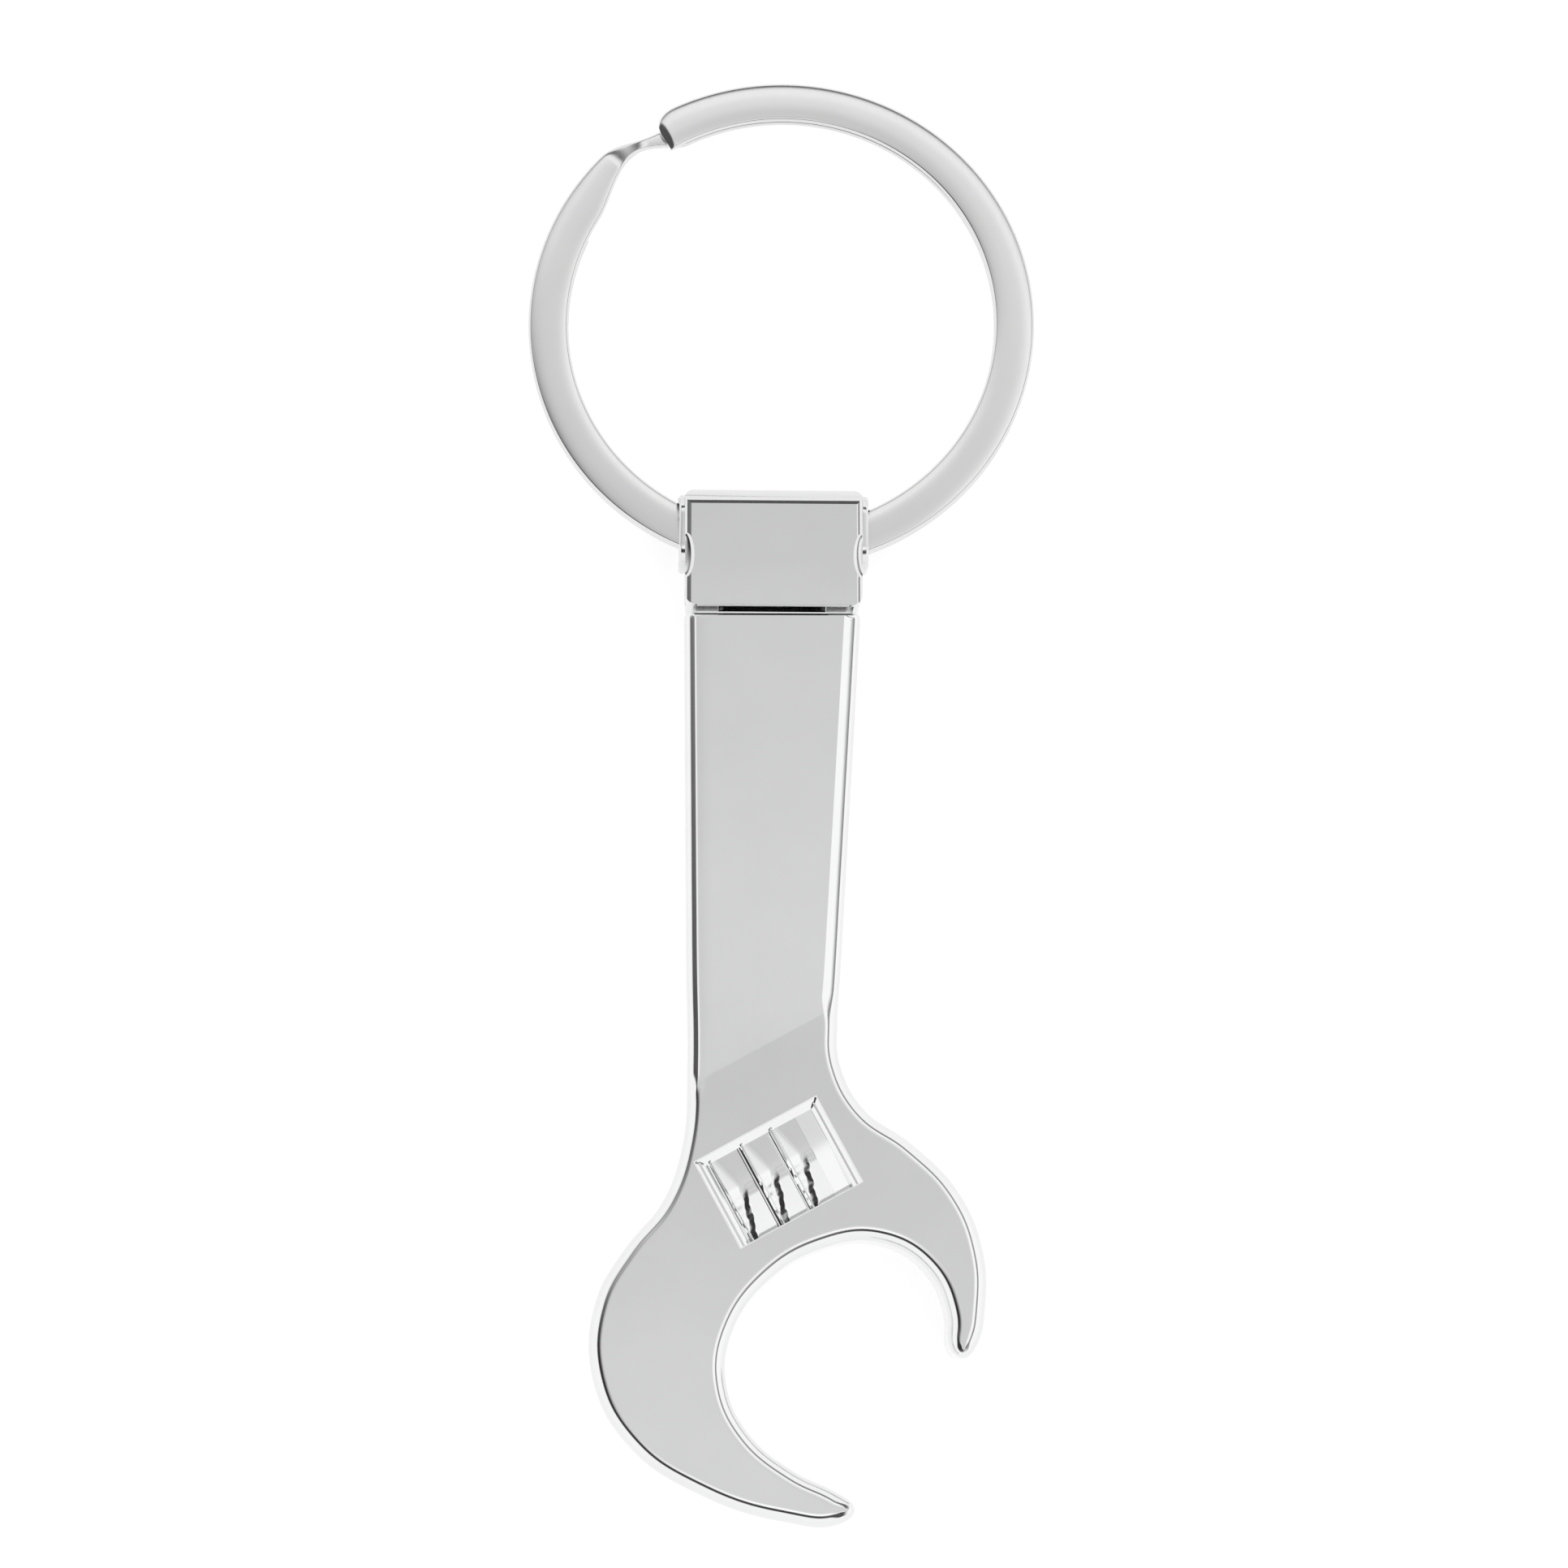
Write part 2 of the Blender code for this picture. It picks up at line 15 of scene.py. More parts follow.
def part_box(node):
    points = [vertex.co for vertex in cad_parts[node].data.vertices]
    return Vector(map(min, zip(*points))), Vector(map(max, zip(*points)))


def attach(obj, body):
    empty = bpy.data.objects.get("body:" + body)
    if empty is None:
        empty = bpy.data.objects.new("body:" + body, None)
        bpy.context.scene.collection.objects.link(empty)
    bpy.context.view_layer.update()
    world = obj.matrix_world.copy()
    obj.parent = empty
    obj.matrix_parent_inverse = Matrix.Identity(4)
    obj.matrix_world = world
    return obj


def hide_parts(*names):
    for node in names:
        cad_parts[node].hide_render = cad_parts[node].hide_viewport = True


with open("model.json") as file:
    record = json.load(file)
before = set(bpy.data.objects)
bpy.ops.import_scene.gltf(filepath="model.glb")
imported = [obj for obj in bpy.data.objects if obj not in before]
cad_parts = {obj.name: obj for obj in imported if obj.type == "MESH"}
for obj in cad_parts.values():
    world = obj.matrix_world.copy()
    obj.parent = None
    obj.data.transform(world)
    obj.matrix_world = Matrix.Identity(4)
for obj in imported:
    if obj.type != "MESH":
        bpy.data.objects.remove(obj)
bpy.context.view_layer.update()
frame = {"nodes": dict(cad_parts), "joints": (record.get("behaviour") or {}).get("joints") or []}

MM = 0.001
DECIMALS = 4  # decimals of a millimetre that tell two points of a mesh apart
SAME_PLACE = 1e-4
WELD = 1e-7  # metres within which two points of the CAD mesh are one
MERGE = 1e-6  # metres within which the points left by a Boolean are one
LEVEL_WIDTH = 1e-8  # metres within which a point lies on the level at which the CAD mesh is cut
ON_PLANE = 1e-5
SHARP = 35  # edges above this angle stay crisp
CUTTER_MARGIN = 1.0  # how far a cutting shape reaches past the shape that it cuts

# Camera: where it looks, how far away it stands, and how it leans towards the head and to the left.
LOOK_AT = (0.18, 0.21, 0.0)
CAMERA_DISTANCE = 240.0
LEAN_TO_HEAD = radians(9.576)
LEAN_TO_LEFT = radians(2.0)
LENS = 94.17
SENSOR = 36.0
CLIP = (0.01, 10)  # metres

# Wrench body
RIM_LEVEL = 1.0  # height at which the CAD side wall is measured, clear of its roundings and of the tongue
END_WIDTH = 0.001  # a point of the rim this near to the far end lies on it
CREASE_MIDDLE = np.array((-0.8, -15.4))
CREASE_ANGLE = radians(28.7)
HANDLE_FALL = radians(1.6)
RIM_STEP = 0.14
RIM_SMOOTHING = 0.3
BELL_REACH = 4  # widths at which the smoothing's bell curve is cut off
HANDLE_CORNER = 0.3
CORNER_STEPS = 6
END_STEPS = 25
END_FILLET = 0.25
BACK_FILLET = 0.45
FILLET_STEPS = 9
WALL_LEVELS = (1.6, 1.0)  # heights of the rows of points on the side wall
# Front edges from the side wall up to the face, as (length run, tilt from level at its end).
HEAD_EDGE = ((0, 90), (0.42, 60), (0.42, 30), (0.1, 23), (0.11, 15), (0.14, 5), (0.07, 0))
RIGHT_EDGE = ((0, 90), (0.42, 58), (0.28, 24), (0.12, 17), (0.3, 12), (0.25, 12), (0.02, 0))
LEFT_EDGE = ((0, 90), (0.5, 22), (0.34, 14.5), (0.01, -9), (0.09, -9), (0.01, 3), (0.75, 0.5))
TIP_EDGE = ((0, 90), (0.42, 60), (0.3, 30), (0.06, 19), (0.24, 16), (0.04, 5), (0.02, 0))
END_EDGE = ((0, 90), (0.1, 70), (0.13, 45), (0.1, 38), (0.004, 20), (0.004, 5), (0.02, 0))
RUN_STEPS = 4
OUTER_RUNS = 3  # runs that blend evenly across the crease; on the right, the others blend further up
OUTER_BLEND = (-0.8, 0.8)  # distances beyond the crease
INNER_BLEND = (-0.6, 1.0)
FACET_INSET = 0.9  # how far inside the rim the inner runs lie
FOLD_SHARE = 0.85  # the widest inset, as a share of the room inside the rim
LEAST_INWARDS = 1e-4  # a point of the rim that lies less far inwards than this leaves room enough
JAW_TIPS = ((10.1, -33.1, 1.1), (4.0, -41.9, 1.5))  # middle and reach of the falling facet at each tip
CDT_INSIDE = 1  # the triangulation keeps only what lies inside its outlines
CDT_TOLERANCE = 1e-7

# Worm relief
WORM_MIDDLE = np.array((-0.28, -22.75))
WORM_ANGLE = radians(28.6)
WORM_LENGTH = 7.8
WORM_WIDTH = 5.45
WORM_DEPTH = 1.3
WORM_GRID = (140, 76)  # grid lines along and across
BESIDE_STEP = 0.006  # how close the lines of a pair stand to the step between them
VALLEY_DEPTH = 0.5
RIDGE_HEIGHT = 0.2
RIDGE_HALF_WIDTH = 0.2
RIDGE_STEEPNESS = 2.2
FLANK_TILT = radians(10)
FLANK_REACH = 0.3
FLANK_SPREAD = 0.3
FLANK_BLEND = 0.12
SEAM_TILT = radians(16)
SEAM_WIDTH = 0.42
SEAM_FROM = 1.9
SEAM_FADE = 0.8
SEAM_LEAN = 0.26
ROUGHNESS = 0.06
BROAD_WAVE = (0.6, 5.5, 1.5, 4.0)  # size, pitch down the worm, size and pitch of its bend along it
FINE_WAVE = (0.4, 13.0, 1.9)  # size, pitch down the worm and pitch along it
LEFT_RISE = 0.1  # least height over the valley floor left of the first thread
LAND_RISE = 0.14  # height of the right collar over the valley floor at its left edge
LAND_TILT = radians(5)
ROLL_FROM = 2.0
ROLL_TILT = radians(8.5)
ROLL_BLEND = 0.35
THREADS_AT = (0.7, 2.7, 4.6)
COLLAR_AT = 6.2
LIP = 0.06
LIP_ROUNDING = ((0.0, 0.0), (0.6, 0.3), (1.0, 0.95))  # shares of the lip gone inwards and down
WALL_SLOPE = 0.52
LEFT_LEDGE = (0.16, 0.24)  # where the left slope runs level, as distances from the wall
RIGHT_LEDGE = (0.24, 0.31)
UPPER_SLOPE_WIDTH = 0.45
RIGHT_SLOPE_WIDTH = 0.55
LEFT_LAND_WIDTH = 0.42

# Link
LINK_FOOT_CORNER = 0.6
LINK_FOOT_ROUNDING = 0.07
LINK_FOOT_STEPS = 14
LINK_SHOULDER = 0.9
LINK_CORNER_STEPS = 12
LINK_TAPER = 0.08
LINK_SHARP = 10
LINK_LEFT = ((0, 90), (0.3, 24), (0.02, 20), (0.22, 14.5), (0.02, 6), (0.02, 0))
LINK_RIGHT = ((0, 90), (0.3, 40), (0.1, 22), (0.1, 17), (0.08, 8), (0.03, 0))
LINK_TOP = ((0, 90), (1.0, 62), (1.08, 34), (0.02, 19), (0.22, 14.5))
EYE_Y = (12.6, 16.6)
EYE_HEIGHT = 3.3
EYE_FLARE = 0.25
EYE_STRAIGHT = 3.3
EYE_ROUNDING = 1.15
EYE_STEPS = 8
CHAMBER_Y = (12.0, 14.0)
CHAMBER_WIDTH = 8.8
CHAMBER_HEIGHT = 3.2
COLLAR_PROUD = 0.35
COLLAR_WALL = 0.2
COLLAR_CORNER = 1.35
COLLAR_LIP = 0.22
COLLAR_STEPS = 12
COLLAR_LIP_STEPS = 6
SCALLOP_Y = 12.9
SCALLOP_SIZE = (0.62, 1.4, 0.3)
SCALLOP_STEPS = (64, 40)
CAVITY_WIDTH = 6.4
CAVITY_TOP_Y = 12.4
CAVITY_ROUNDING = 0.12
CAVITY_STEPS = 3
WALL = 0.6
POCKET_INSET = 0.55
POCKET_DEPTH = 0.38
PIN_RADIUS = 0.5
PIN_ROUNDING = 0.08
PIN_STEPS = 4
PIN_GAP = 0.02
BORE_SEGMENTS = 64
ROD_SEGMENTS = 96
TONGUE_WIDTH = 5.8
TONGUE_RADIUS = 0.85
TONGUE_GAP = 0.06
TONGUE_ROOT = 1.0  # how far the tongue reaches into the body
SHOULDER_ROOT = 0.5
SHOULDER_INSET = 1.1
SHOULDER_FALL = 0.8
SHOULDER_RISE = 1.25
SHOULDER_PROUD = 0.1

# Split ring
RING_OUTER, RING_INNER = 15.0, 12.65
OVAL, OVAL_ANGLE = 0.1, 50.0
STRIP_THICK = 0.5
COIL_GAP = 0.05
RING_TILT = radians(2.9)
RING_MIDDLE_Y = 13.56
END_ANGLE = 121.5
JOGGLE_FROM, JOGGLE_TO = 136.0, 125.0
BACK_END_ANGLE = 156.0
LAST_TRAVEL = END_ANGLE + 720 - BACK_END_ANGLE  # from the strip's front end to its back end
# Notches in the strip's edges, as (angles where it starts, is deepest and ends, depth).
NECK_INNER = (150.0, 128.5, 116.0, 1.15)
NECK_OUTER = (137.0, 121.0, 108.0, 0.8)
END_TAPER = 6.5
END_CORNER = 1.1
END_POWER = 2.5
STRIP_EDGE = 0.16
EDGE_SHARE = 0.45  # the most of the strip's half width that its edge takes
EDGE_STEPS = 8
FACE_POINTS = 11
STRIP_CROWN = 0.085
FULL_CROWN_HALF = 1.1  # half width from which the crown has its full height
CROWN_POWER = 3
STRIP_SHARP = 50
END_STEP, PLAIN_STEP, JOGGLE_STEP = 0.25, 1.2, 0.4  # degrees between the strip's sections
END_SLOPE = 0.36
END_SLOPE_LENGTH = 0.42

# Plated looks: brightness, tint, roughness, and heights in metres of casting waves and polishing scratches.
PLATINGS = {
    "bright_chrome": (0.84, (0.995, 0.998, 1.0), 0.1, 4e-6, 2e-7),
    "link_chrome": (0.77, (0.995, 0.998, 1.0), 0.11, 4e-6, 2e-7),
    "ring_nickel": (0.77, (1.0, 1.0, 0.998), 0.16, 3e-6, 4e-7),
    "pin_steel": (0.6, (1.0, 0.995, 0.985), 0.3, 2e-6, 6e-7),
}
# Noises as (scale per metre, detail).
CLOUDS = (260, 3)
STREAKS = (9000, 4)
WAVES = (420, 2)
STREAK_STRETCH = (1.0, 0.06, 1.0)
CLOUD_DARKEST = 0.975  # of the brightness
CLOUD_STOPS = (0.3, 0.7)
ROUGHNESS_SPREAD = (0.8, 1.25)
WEAR_REACH = 0.12  # how far polishing wear reaches from an edge
WEAR_SAMPLES = 4
WEAR_STOPS = ((0.85, 1.0), (0.98, 0.0))  # how worn, by how well the softened normal agrees with the true one
WORN_BRIGHTNESS = 1.03

# Floor, lamp and studio. The floor's size is in metres.
FLOOR_HALF_SIZE = 1.5
FLOOR_DROP = 0.02
FLOOR_GREY = 0.25
FLOOR_ROUGHNESS = 0.9
FLOOR_GLOW = 0.82
LAMP_POWER = 0.6
LAMP_WIDTH = radians(90)
LAMP_LEAN = (radians(8), radians(6))
LEAST_SQUARE = 1e-6  # avoids a division by zero straight up
RIGHT_ANGLE = 90
# Brightness of the studio by the angle from straight up, as (degrees, value), towards each side.
STUDIO = {
    "east": ((0, 0.82), (5, 0.74), (9, 0.78), (14, 0.86), (20, 1.15), (32, 1.15), (37, 0.3), (45, 0.3))
    + ((50, 1.15), (90, 1.1)),
    "west": ((0, 0.82), (6, 0.72), (9, 0.66), (14, 0.5), (22, 0.12), (27, 0.03), (41, 0.03), (47, 1.1))
    + ((90, 1.1),),
    "north": ((0, 0.82), (5.8, 0.64), (7, 0.64), (9, 0.82), (15, 0.71), (21, 0.76), (24, 0.85), (28, 1.12))
    + ((39, 1.12), (42, 0.08), (51, 0.08), (55, 1.05), (90, 1.05)),
    "south": ((0, 0.82), (7, 0.8), (11, 1.2), (22, 1.2), (27, 0.04), (41, 0.04), (47, 1.1), (90, 1.05)),
}


def millimetres(node):
    low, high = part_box(node)
    return np.array(low) / MM, np.array(high) / MM


def ease(amount):
    """A smooth step from 0 to 1."""
    amount = np.clip(amount, 0.0, 1.0)
    return amount * amount * (3 - 2 * amount)


def eased_over(distance, span):
    """A smooth step from 0 to 1 over a span of distances."""
    return ease((distance - span[0]) / (span[1] - span[0]))


def softly_positive(value, blend):
    """The value where it is above zero, and zero below, with a turn as wide as the blend."""
    return (value + np.sqrt(value**2 + blend**2)) / 2


def finished(name, mesh, body, material, stands_for=()):
    """A piece from a mesh in metres, with its material and body, and the CAD nodes it stands for."""
    piece = bpy.data.objects.new(name, mesh)
    bpy.context.scene.collection.objects.link(piece)
    mesh.materials.clear()
    mesh.materials.append(material)
    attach(piece, body)
    if stands_for:
        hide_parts(*stands_for)
    return piece


def mesh_of(name, patches, sharp=SHARP):
    """One closed smooth mesh in metres from patches in millimetres, each of points and of faces.

    Points at one place are merged. Edges between patches and edges above the sharp angle stay crisp."""
    points, faces, owners = [], [], []
    for owner, (patch_points, patch_faces) in enumerate(patches):
        start = len(points)
        points.extend(patch_points)
        faces.extend([[start + i for i in face] for face in patch_faces])
        owners.extend([owner] * len(patch_faces))
    unique, index = np.unique(np.round(np.array(points), DECIMALS), axis=0, return_inverse=True)
    index = index.reshape(-1)
    kept, kept_owners = [], []
    for face, owner in zip(faces, owners):
        corners = [int(index[i]) for i in face]
        corners = [c for k, c in enumerate(corners) if c != corners[k - 1]]
        if len(set(corners)) == len(corners) and len(corners) > 2:
            kept.append(corners)
            kept_owners.append(owner)
    mesh = bpy.data.meshes.new(name)
    mesh.from_pydata((unique * MM).tolist(), [], kept)
    bm = bmesh.new()
    bm.from_mesh(mesh)
    bmesh.ops.recalc_face_normals(bm, faces=bm.faces)
    bm.faces.ensure_lookup_table()
    for edge in bm.edges:
        sides = [kept_owners[face.index] for face in edge.link_faces]
        apart = len(sides) == 2 and edge.calc_face_angle(0) > radians(sharp)
        edge.smooth = len(set(sides)) == 1 and not apart
    for face in bm.faces:
        face.smooth = True
    bm.to_mesh(mesh)
    bm.free()
    return mesh


def strip_faces(first, second, count, closed=True):
    """Quads between two rows of points that start at the given indices."""
    last = count if closed else count - 1
    return [(first + i, first + (i + 1) % count, second + (i + 1) % count, second + i) for i in range(last)]


# ---------------------------------------------------------------- wrench body


def rim_chain(node, level):
    """The outline of a CAD node at one height, from the right corner of its far end to the left one."""
    bm = bmesh.new()
    bm.from_mesh(frame["nodes"][node].data)
    bmesh.ops.remove_doubles(bm, verts=bm.verts, dist=WELD)
    everything = bm.verts[:] + bm.edges[:] + bm.faces[:]
    plane = {"plane_co": (0, 0, level * MM), "plane_no": (0, 0, 1)}
    cut = bmesh.ops.bisect_plane(bm, geom=everything, dist=LEVEL_WIDTH, **plane)["geom_cut"]
    links = {}
    for edge in [g for g in cut if isinstance(g, bmesh.types.BMEdge)]:
        for vert in edge.verts:
            links.setdefault(vert, []).append(edge.other_vert(vert))
    loops, seen = [], set()
    for start in links:
        if start in seen:
            continue
        loop = [start]
        while loop[-1] not in seen:
            seen.add(loop[-1])
            loop += [v for v in links[loop[-1]] if v not in seen][:1]
        loops.append(np.array([(v.co.x, v.co.y) for v in loop]) / MM)
    bm.free()
    longest = max(loops, key=len)
    at_end = longest[:, 1] > longest[:, 1].max() - END_WIDTH
    first = next(i for i in range(len(longest)) if at_end[i - 1] and not at_end[i])
    longest, at_end = np.roll(longest, -first, axis=0), np.roll(at_end, -first)
    inner = longest[~at_end]
    corners = longest[at_end]
    right, left = corners[np.argmax(corners[:, 0])], corners[np.argmin(corners[:, 0])]
    if inner[0][0] < inner[-1][0]:
        inner = inner[::-1]
    return np.vstack([right, inner, left])


def cubic_through(points, step):
    """Points a step apart on the natural cubic spline through the given ones."""
    gaps = np.linalg.norm(np.diff(points, axis=0), axis=1)
    points = points[np.r_[True, gaps > SAME_PLACE]]
    at = np.r_[0, np.cumsum(np.linalg.norm(np.diff(points, axis=0), axis=1))]
    count = len(at)
    width = np.diff(at)
    system = np.eye(count)
    right = np.zeros((count, 2))
    for i in range(1, count - 1):
        system[i, i - 1 : i + 2] = (width[i - 1], 2 * (width[i - 1] + width[i]), width[i])
        rise = (points[i + 1] - points[i]) / width[i] - (points[i] - points[i - 1]) / width[i - 1]
        right[i] = 6 * rise
    bend = np.linalg.solve(system, right)
    wanted = np.linspace(0, at[-1], ceil(at[-1] / step) + 1)
    k = np.clip(np.searchsorted(at, wanted, side="right") - 1, 0, count - 2)
    h = width[k][:, None]
    a = (at[k + 1] - wanted)[:, None]
    b = (wanted - at[k])[:, None]
    curve = bend[k] * a**3 / (6 * h) + bend[k + 1] * b**3 / (6 * h)
    return curve + (points[k] / h - bend[k] * h / 6) * a + (points[k + 1] / h - bend[k + 1] * h / 6) * b


def smoothed(curve, step, width):
    """The curve with its bends evened out over a width, its straight ends kept."""
    reach = int(BELL_REACH * width / step)
    before = 2 * curve[0] - curve[reach:0:-1]
    after = 2 * curve[-1] - curve[-2 : -reach - 2 : -1]
    padded = np.vstack([before, curve, after])
    spread = np.exp(-0.5 * (np.arange(-reach, reach + 1) * step / width) ** 2)
    spread /= spread.sum()
    return np.stack([np.convolve(padded[:, axis], spread, "valid") for axis in (0, 1)], 1)


def outward(curve):
    """Unit normals of a curve that runs clockwise round its solid."""
    along = np.gradient(curve, axis=0)
    along /= np.linalg.norm(along, axis=1)[:, None]
    return np.stack([-along[:, 1], along[:, 0]], 1)


def unfolded(curve, normals, insets):
    """The insets, narrowed where the body is too slim, or bends too tightly, to take them unfolded.

    The room at a point is the radius of the largest circle inside the rim that touches it there."""
    apart = curve[:, None] - curve[None]
    inwards = (apart * normals[:, None]).sum(2)
    circles = (apart**2).sum(2) / (2 * np.maximum(inwards, LEAST_INWARDS))
    room = np.where(inwards > LEAST_INWARDS, circles, np.inf).min(1)
    return insets * np.minimum(1, FOLD_SHARE * room / insets[:, -1])[:, None]


def beyond_crease(points):
    """Distances past the crease, towards the link."""
    across = np.array((-sin(CREASE_ANGLE), cos(CREASE_ANGLE)))
    return (np.asarray(points) - CREASE_MIDDLE) @ across


def rim_profile(edges, weights):
    """Insets and drops from the top of the side wall to the face, one row for each place on the rim.

    The edges are mixed by their weights at each place and run."""
    knots = sum(weight[..., None] * np.array(edge) for weight, edge in zip(weights, edges))
    inset = np.zeros(len(knots))
    rise = np.zeros(len(knots))
    insets, rises = [inset], [rise]
    for knot in range(1, knots.shape[1]):
        run = knots[:, knot, 0] / RUN_STEPS
        before, after = np.radians(knots[:, knot - 1, 1]), np.radians(knots[:, knot, 1])
        for step in range(RUN_STEPS):
            tilt = before + (after - before) * (step + 0.5) / RUN_STEPS
            inset = inset + run * np.cos(tilt)
            rise = rise + run * np.sin(tilt)
            insets.append(inset)
            rises.append(rise)
    return np.stack(insets, 1), rise[:, None] - np.stack(rises, 1)


class Rim:
    """The rim of the body: the curve round the head, and the handle's straight end with two corners."""

    def __init__(self):
        chain = rim_chain("wrench_body", RIM_LEVEL)
        self.end_y = chain[0][1]
        curve = smoothed(cubic_through(chain, RIM_STEP), RIM_STEP, RIM_SMOOTHING)
        self.curve = curve[curve[:, 1] < self.end_y - HANDLE_CORNER]
        self.normals = outward(self.curve)
        low = self.end_y - HANDLE_CORNER
        self.left = np.array((self.curve[-1][0] + HANDLE_CORNER, low))
        self.right = np.array((self.curve[0][0] - HANDLE_CORNER, low))
        self.turns = np.linspace(0, pi / 2, CORNER_STEPS + 1)
        self.across = np.linspace(0, 1, END_STEPS + 1)[1:-1]

    def ring(self, insets, end_inset):
        """The rim moved inwards by an inset at each point of its curve, and by another on its end."""
        inwards = self.curve - self.normals * insets[:, None]
        left = [self.corner(self.left, -1, turn, insets[-1], end_inset) for turn in self.turns]
        right = [self.corner(self.right, 1, turn, insets[0], end_inset) for turn in self.turns[::-1]]
        end = [left[-1] + (right[0] - left[-1]) * share for share in self.across]
        return np.vstack([inwards, left, end, right])

    def corner(self, centre, side, turn, inset, end_inset):
        """A point on one of the two corners, on the side given as -1 or 1."""
        over = HANDLE_CORNER - inset
        x = centre[0] + side * (over * cos(turn) if over > 0 else over)
        return np.array((x, centre[1] + (HANDLE_CORNER - end_inset) * sin(turn)))

    def drops(self, drops, end_drop):
        """The drop below the face at each point of such a ring."""
        share = np.sin(self.turns) ** 2
        left = drops[-1] + (end_drop - drops[-1]) * share
        right = (drops[0] + (end_drop - drops[0]) * share)[::-1]
        return np.concatenate([drops, left, np.full(len(self.across), end_drop), right])


def fill_face(boundary, hole, height_at, crease=True):
    """The patches between a boundary and a hole, one on each side of the crease where there is one.

    The triangulation rounds its points, so each is put back exactly where it was given."""
    count = len(boundary)
    points = [Vector(p) for p in boundary] + [Vector(p) for p in hole]
    edges = [(count + i, count + (i + 1) % len(hole)) for i in range(len(hole))]
    if crease:
        distance = np.abs(beyond_crease(boundary))
        by_side = boundary[:, 0] > CREASE_MIDDLE[0]
        right = int(np.argmin(np.where(by_side, distance, np.inf)))
        left = int(np.argmin(np.where(by_side, np.inf, distance)))
        edges.append((left, right))
    outline = list(range(count))[::-1]
    opening = list(range(count, count + len(hole)))
    made = delaunay_2d_cdt(points, edges, [outline, opening], CDT_INSIDE, CDT_TOLERANCE)
    flat = np.array([(p.x, p.y) for p in made[0]])
    given = np.vstack([boundary, hole])
    for index, sources in enumerate(made[3]):
        if sources:
            flat[index] = given[sources[0]]
    sides = ([], [])
    for face, sources in zip(made[2], made[5]):
        if 1 not in sources:
            middle = flat[list(face)].mean(0)
            sides[int(crease and bool(beyond_crease(middle) > 0))].append(list(face))
    placed = np.c_[flat, height_at(flat)]
    return [(placed, faces) for faces in sides if faces]


def worm_axes(point):
    """Distance along the worm from its left end, and distance across it."""
    along = np.array((cos(WORM_ANGLE), sin(WORM_ANGLE)))
    across = np.array((-sin(WORM_ANGLE), cos(WORM_ANGLE)))
    offset = np.asarray(point) - WORM_MIDDLE
    return offset @ along + WORM_LENGTH / 2, offset @ across


def worm_place(along, across):
    """The place on the body of distances along and across the worm."""
    x = WORM_MIDDLE[0] + (along - WORM_LENGTH / 2) * cos(WORM_ANGLE) - across * sin(WORM_ANGLE)
    y = WORM_MIDDLE[1] + (along - WORM_LENGTH / 2) * sin(WORM_ANGLE) + across * cos(WORM_ANGLE)
    return np.stack([x, y], -1)


def wavering(down, along):
    """A wavering value between -1 and 1, for the rough step of each thread."""
    size, pitch, bend_size, bend_pitch = BROAD_WAVE
    broad = size * np.sin(pitch * down + bend_size * np.sin(bend_pitch * along))
    size, pitch, slant = FINE_WAVE
    return broad + size * np.sin(pitch * down + slant * along)


def stepped_slope(distance, ledge):
    """The depth of a slope that falls from the lip, at a distance from the wall, with a level ledge in it."""
    return LIP + WALL_SLOPE * (np.minimum(distance, ledge[0]) + np.maximum(distance - ledge[1], 0))


def worm_depth(along, across):
    """How deep the recess lies under the face at a place in it.

    Each thread is a narrow ridge. To its right a flank falls to the valley floor, and widens to the middle.
    The floor rolls off in the lower half, behind a rough step that leans back to the ridge's foot."""
    down = WORM_WIDTH / 2 - UPPER_SLOPE_WIDTH - across
    rough = wavering(down, along)
    floor = VALLEY_DEPTH + tan(ROLL_TILT) * softly_positive(down - ROLL_FROM, ROLL_BLEND)
    depth = floor
    lower = ease((down - SEAM_FROM) / SEAM_FADE)
    for at, end in zip(THREADS_AT, (*THREADS_AT[1:], COLLAR_AT)):
        inside = (along > at) & (along < end)
        spread = FLANK_SPREAD * np.minimum(down, SEAM_FROM)
        reach = FLANK_REACH + spread - SEAM_LEAN * np.maximum(down - SEAM_FROM, 0)
        gap = reach + ROUGHNESS * rough * lower - (along - at)
        flank = softly_positive(gap, FLANK_BLEND)
        rise = np.clip(-gap, 0, SEAM_WIDTH)
        depth = np.where(inside, depth - tan(FLANK_TILT) * flank - lower * tan(SEAM_TILT) * rise, depth)
    for at in THREADS_AT:
        rise = RIDGE_HEIGHT + tan(SEAM_TILT) * (along - at)
        depth = depth - rise * ease(RIDGE_STEEPNESS * (1 - np.abs(along - at) / RIDGE_HALF_WIDTH))
    depth = np.where(along < THREADS_AT[0], np.minimum(depth, floor - LEFT_RISE), depth)
    depth = np.where(along > COLLAR_AT, floor - LAND_RISE + tan(LAND_TILT) * (along - COLLAR_AT), depth)
    depth = np.clip(depth, LIP, WORM_DEPTH)
    from_top = WORM_WIDTH / 2 - across
    depth = np.where(from_top < UPPER_SLOPE_WIDTH, np.minimum(LIP + WALL_SLOPE * from_top, depth), depth)
    depth = np.where(along < LEFT_LAND_WIDTH, np.minimum(stepped_slope(along, LEFT_LEDGE), depth), depth)
    from_right = WORM_LENGTH - along
    slope = stepped_slope(from_right, RIGHT_LEDGE)
    return np.where(from_right < RIGHT_SLOPE_WIDTH, np.minimum(slope, depth), depth)


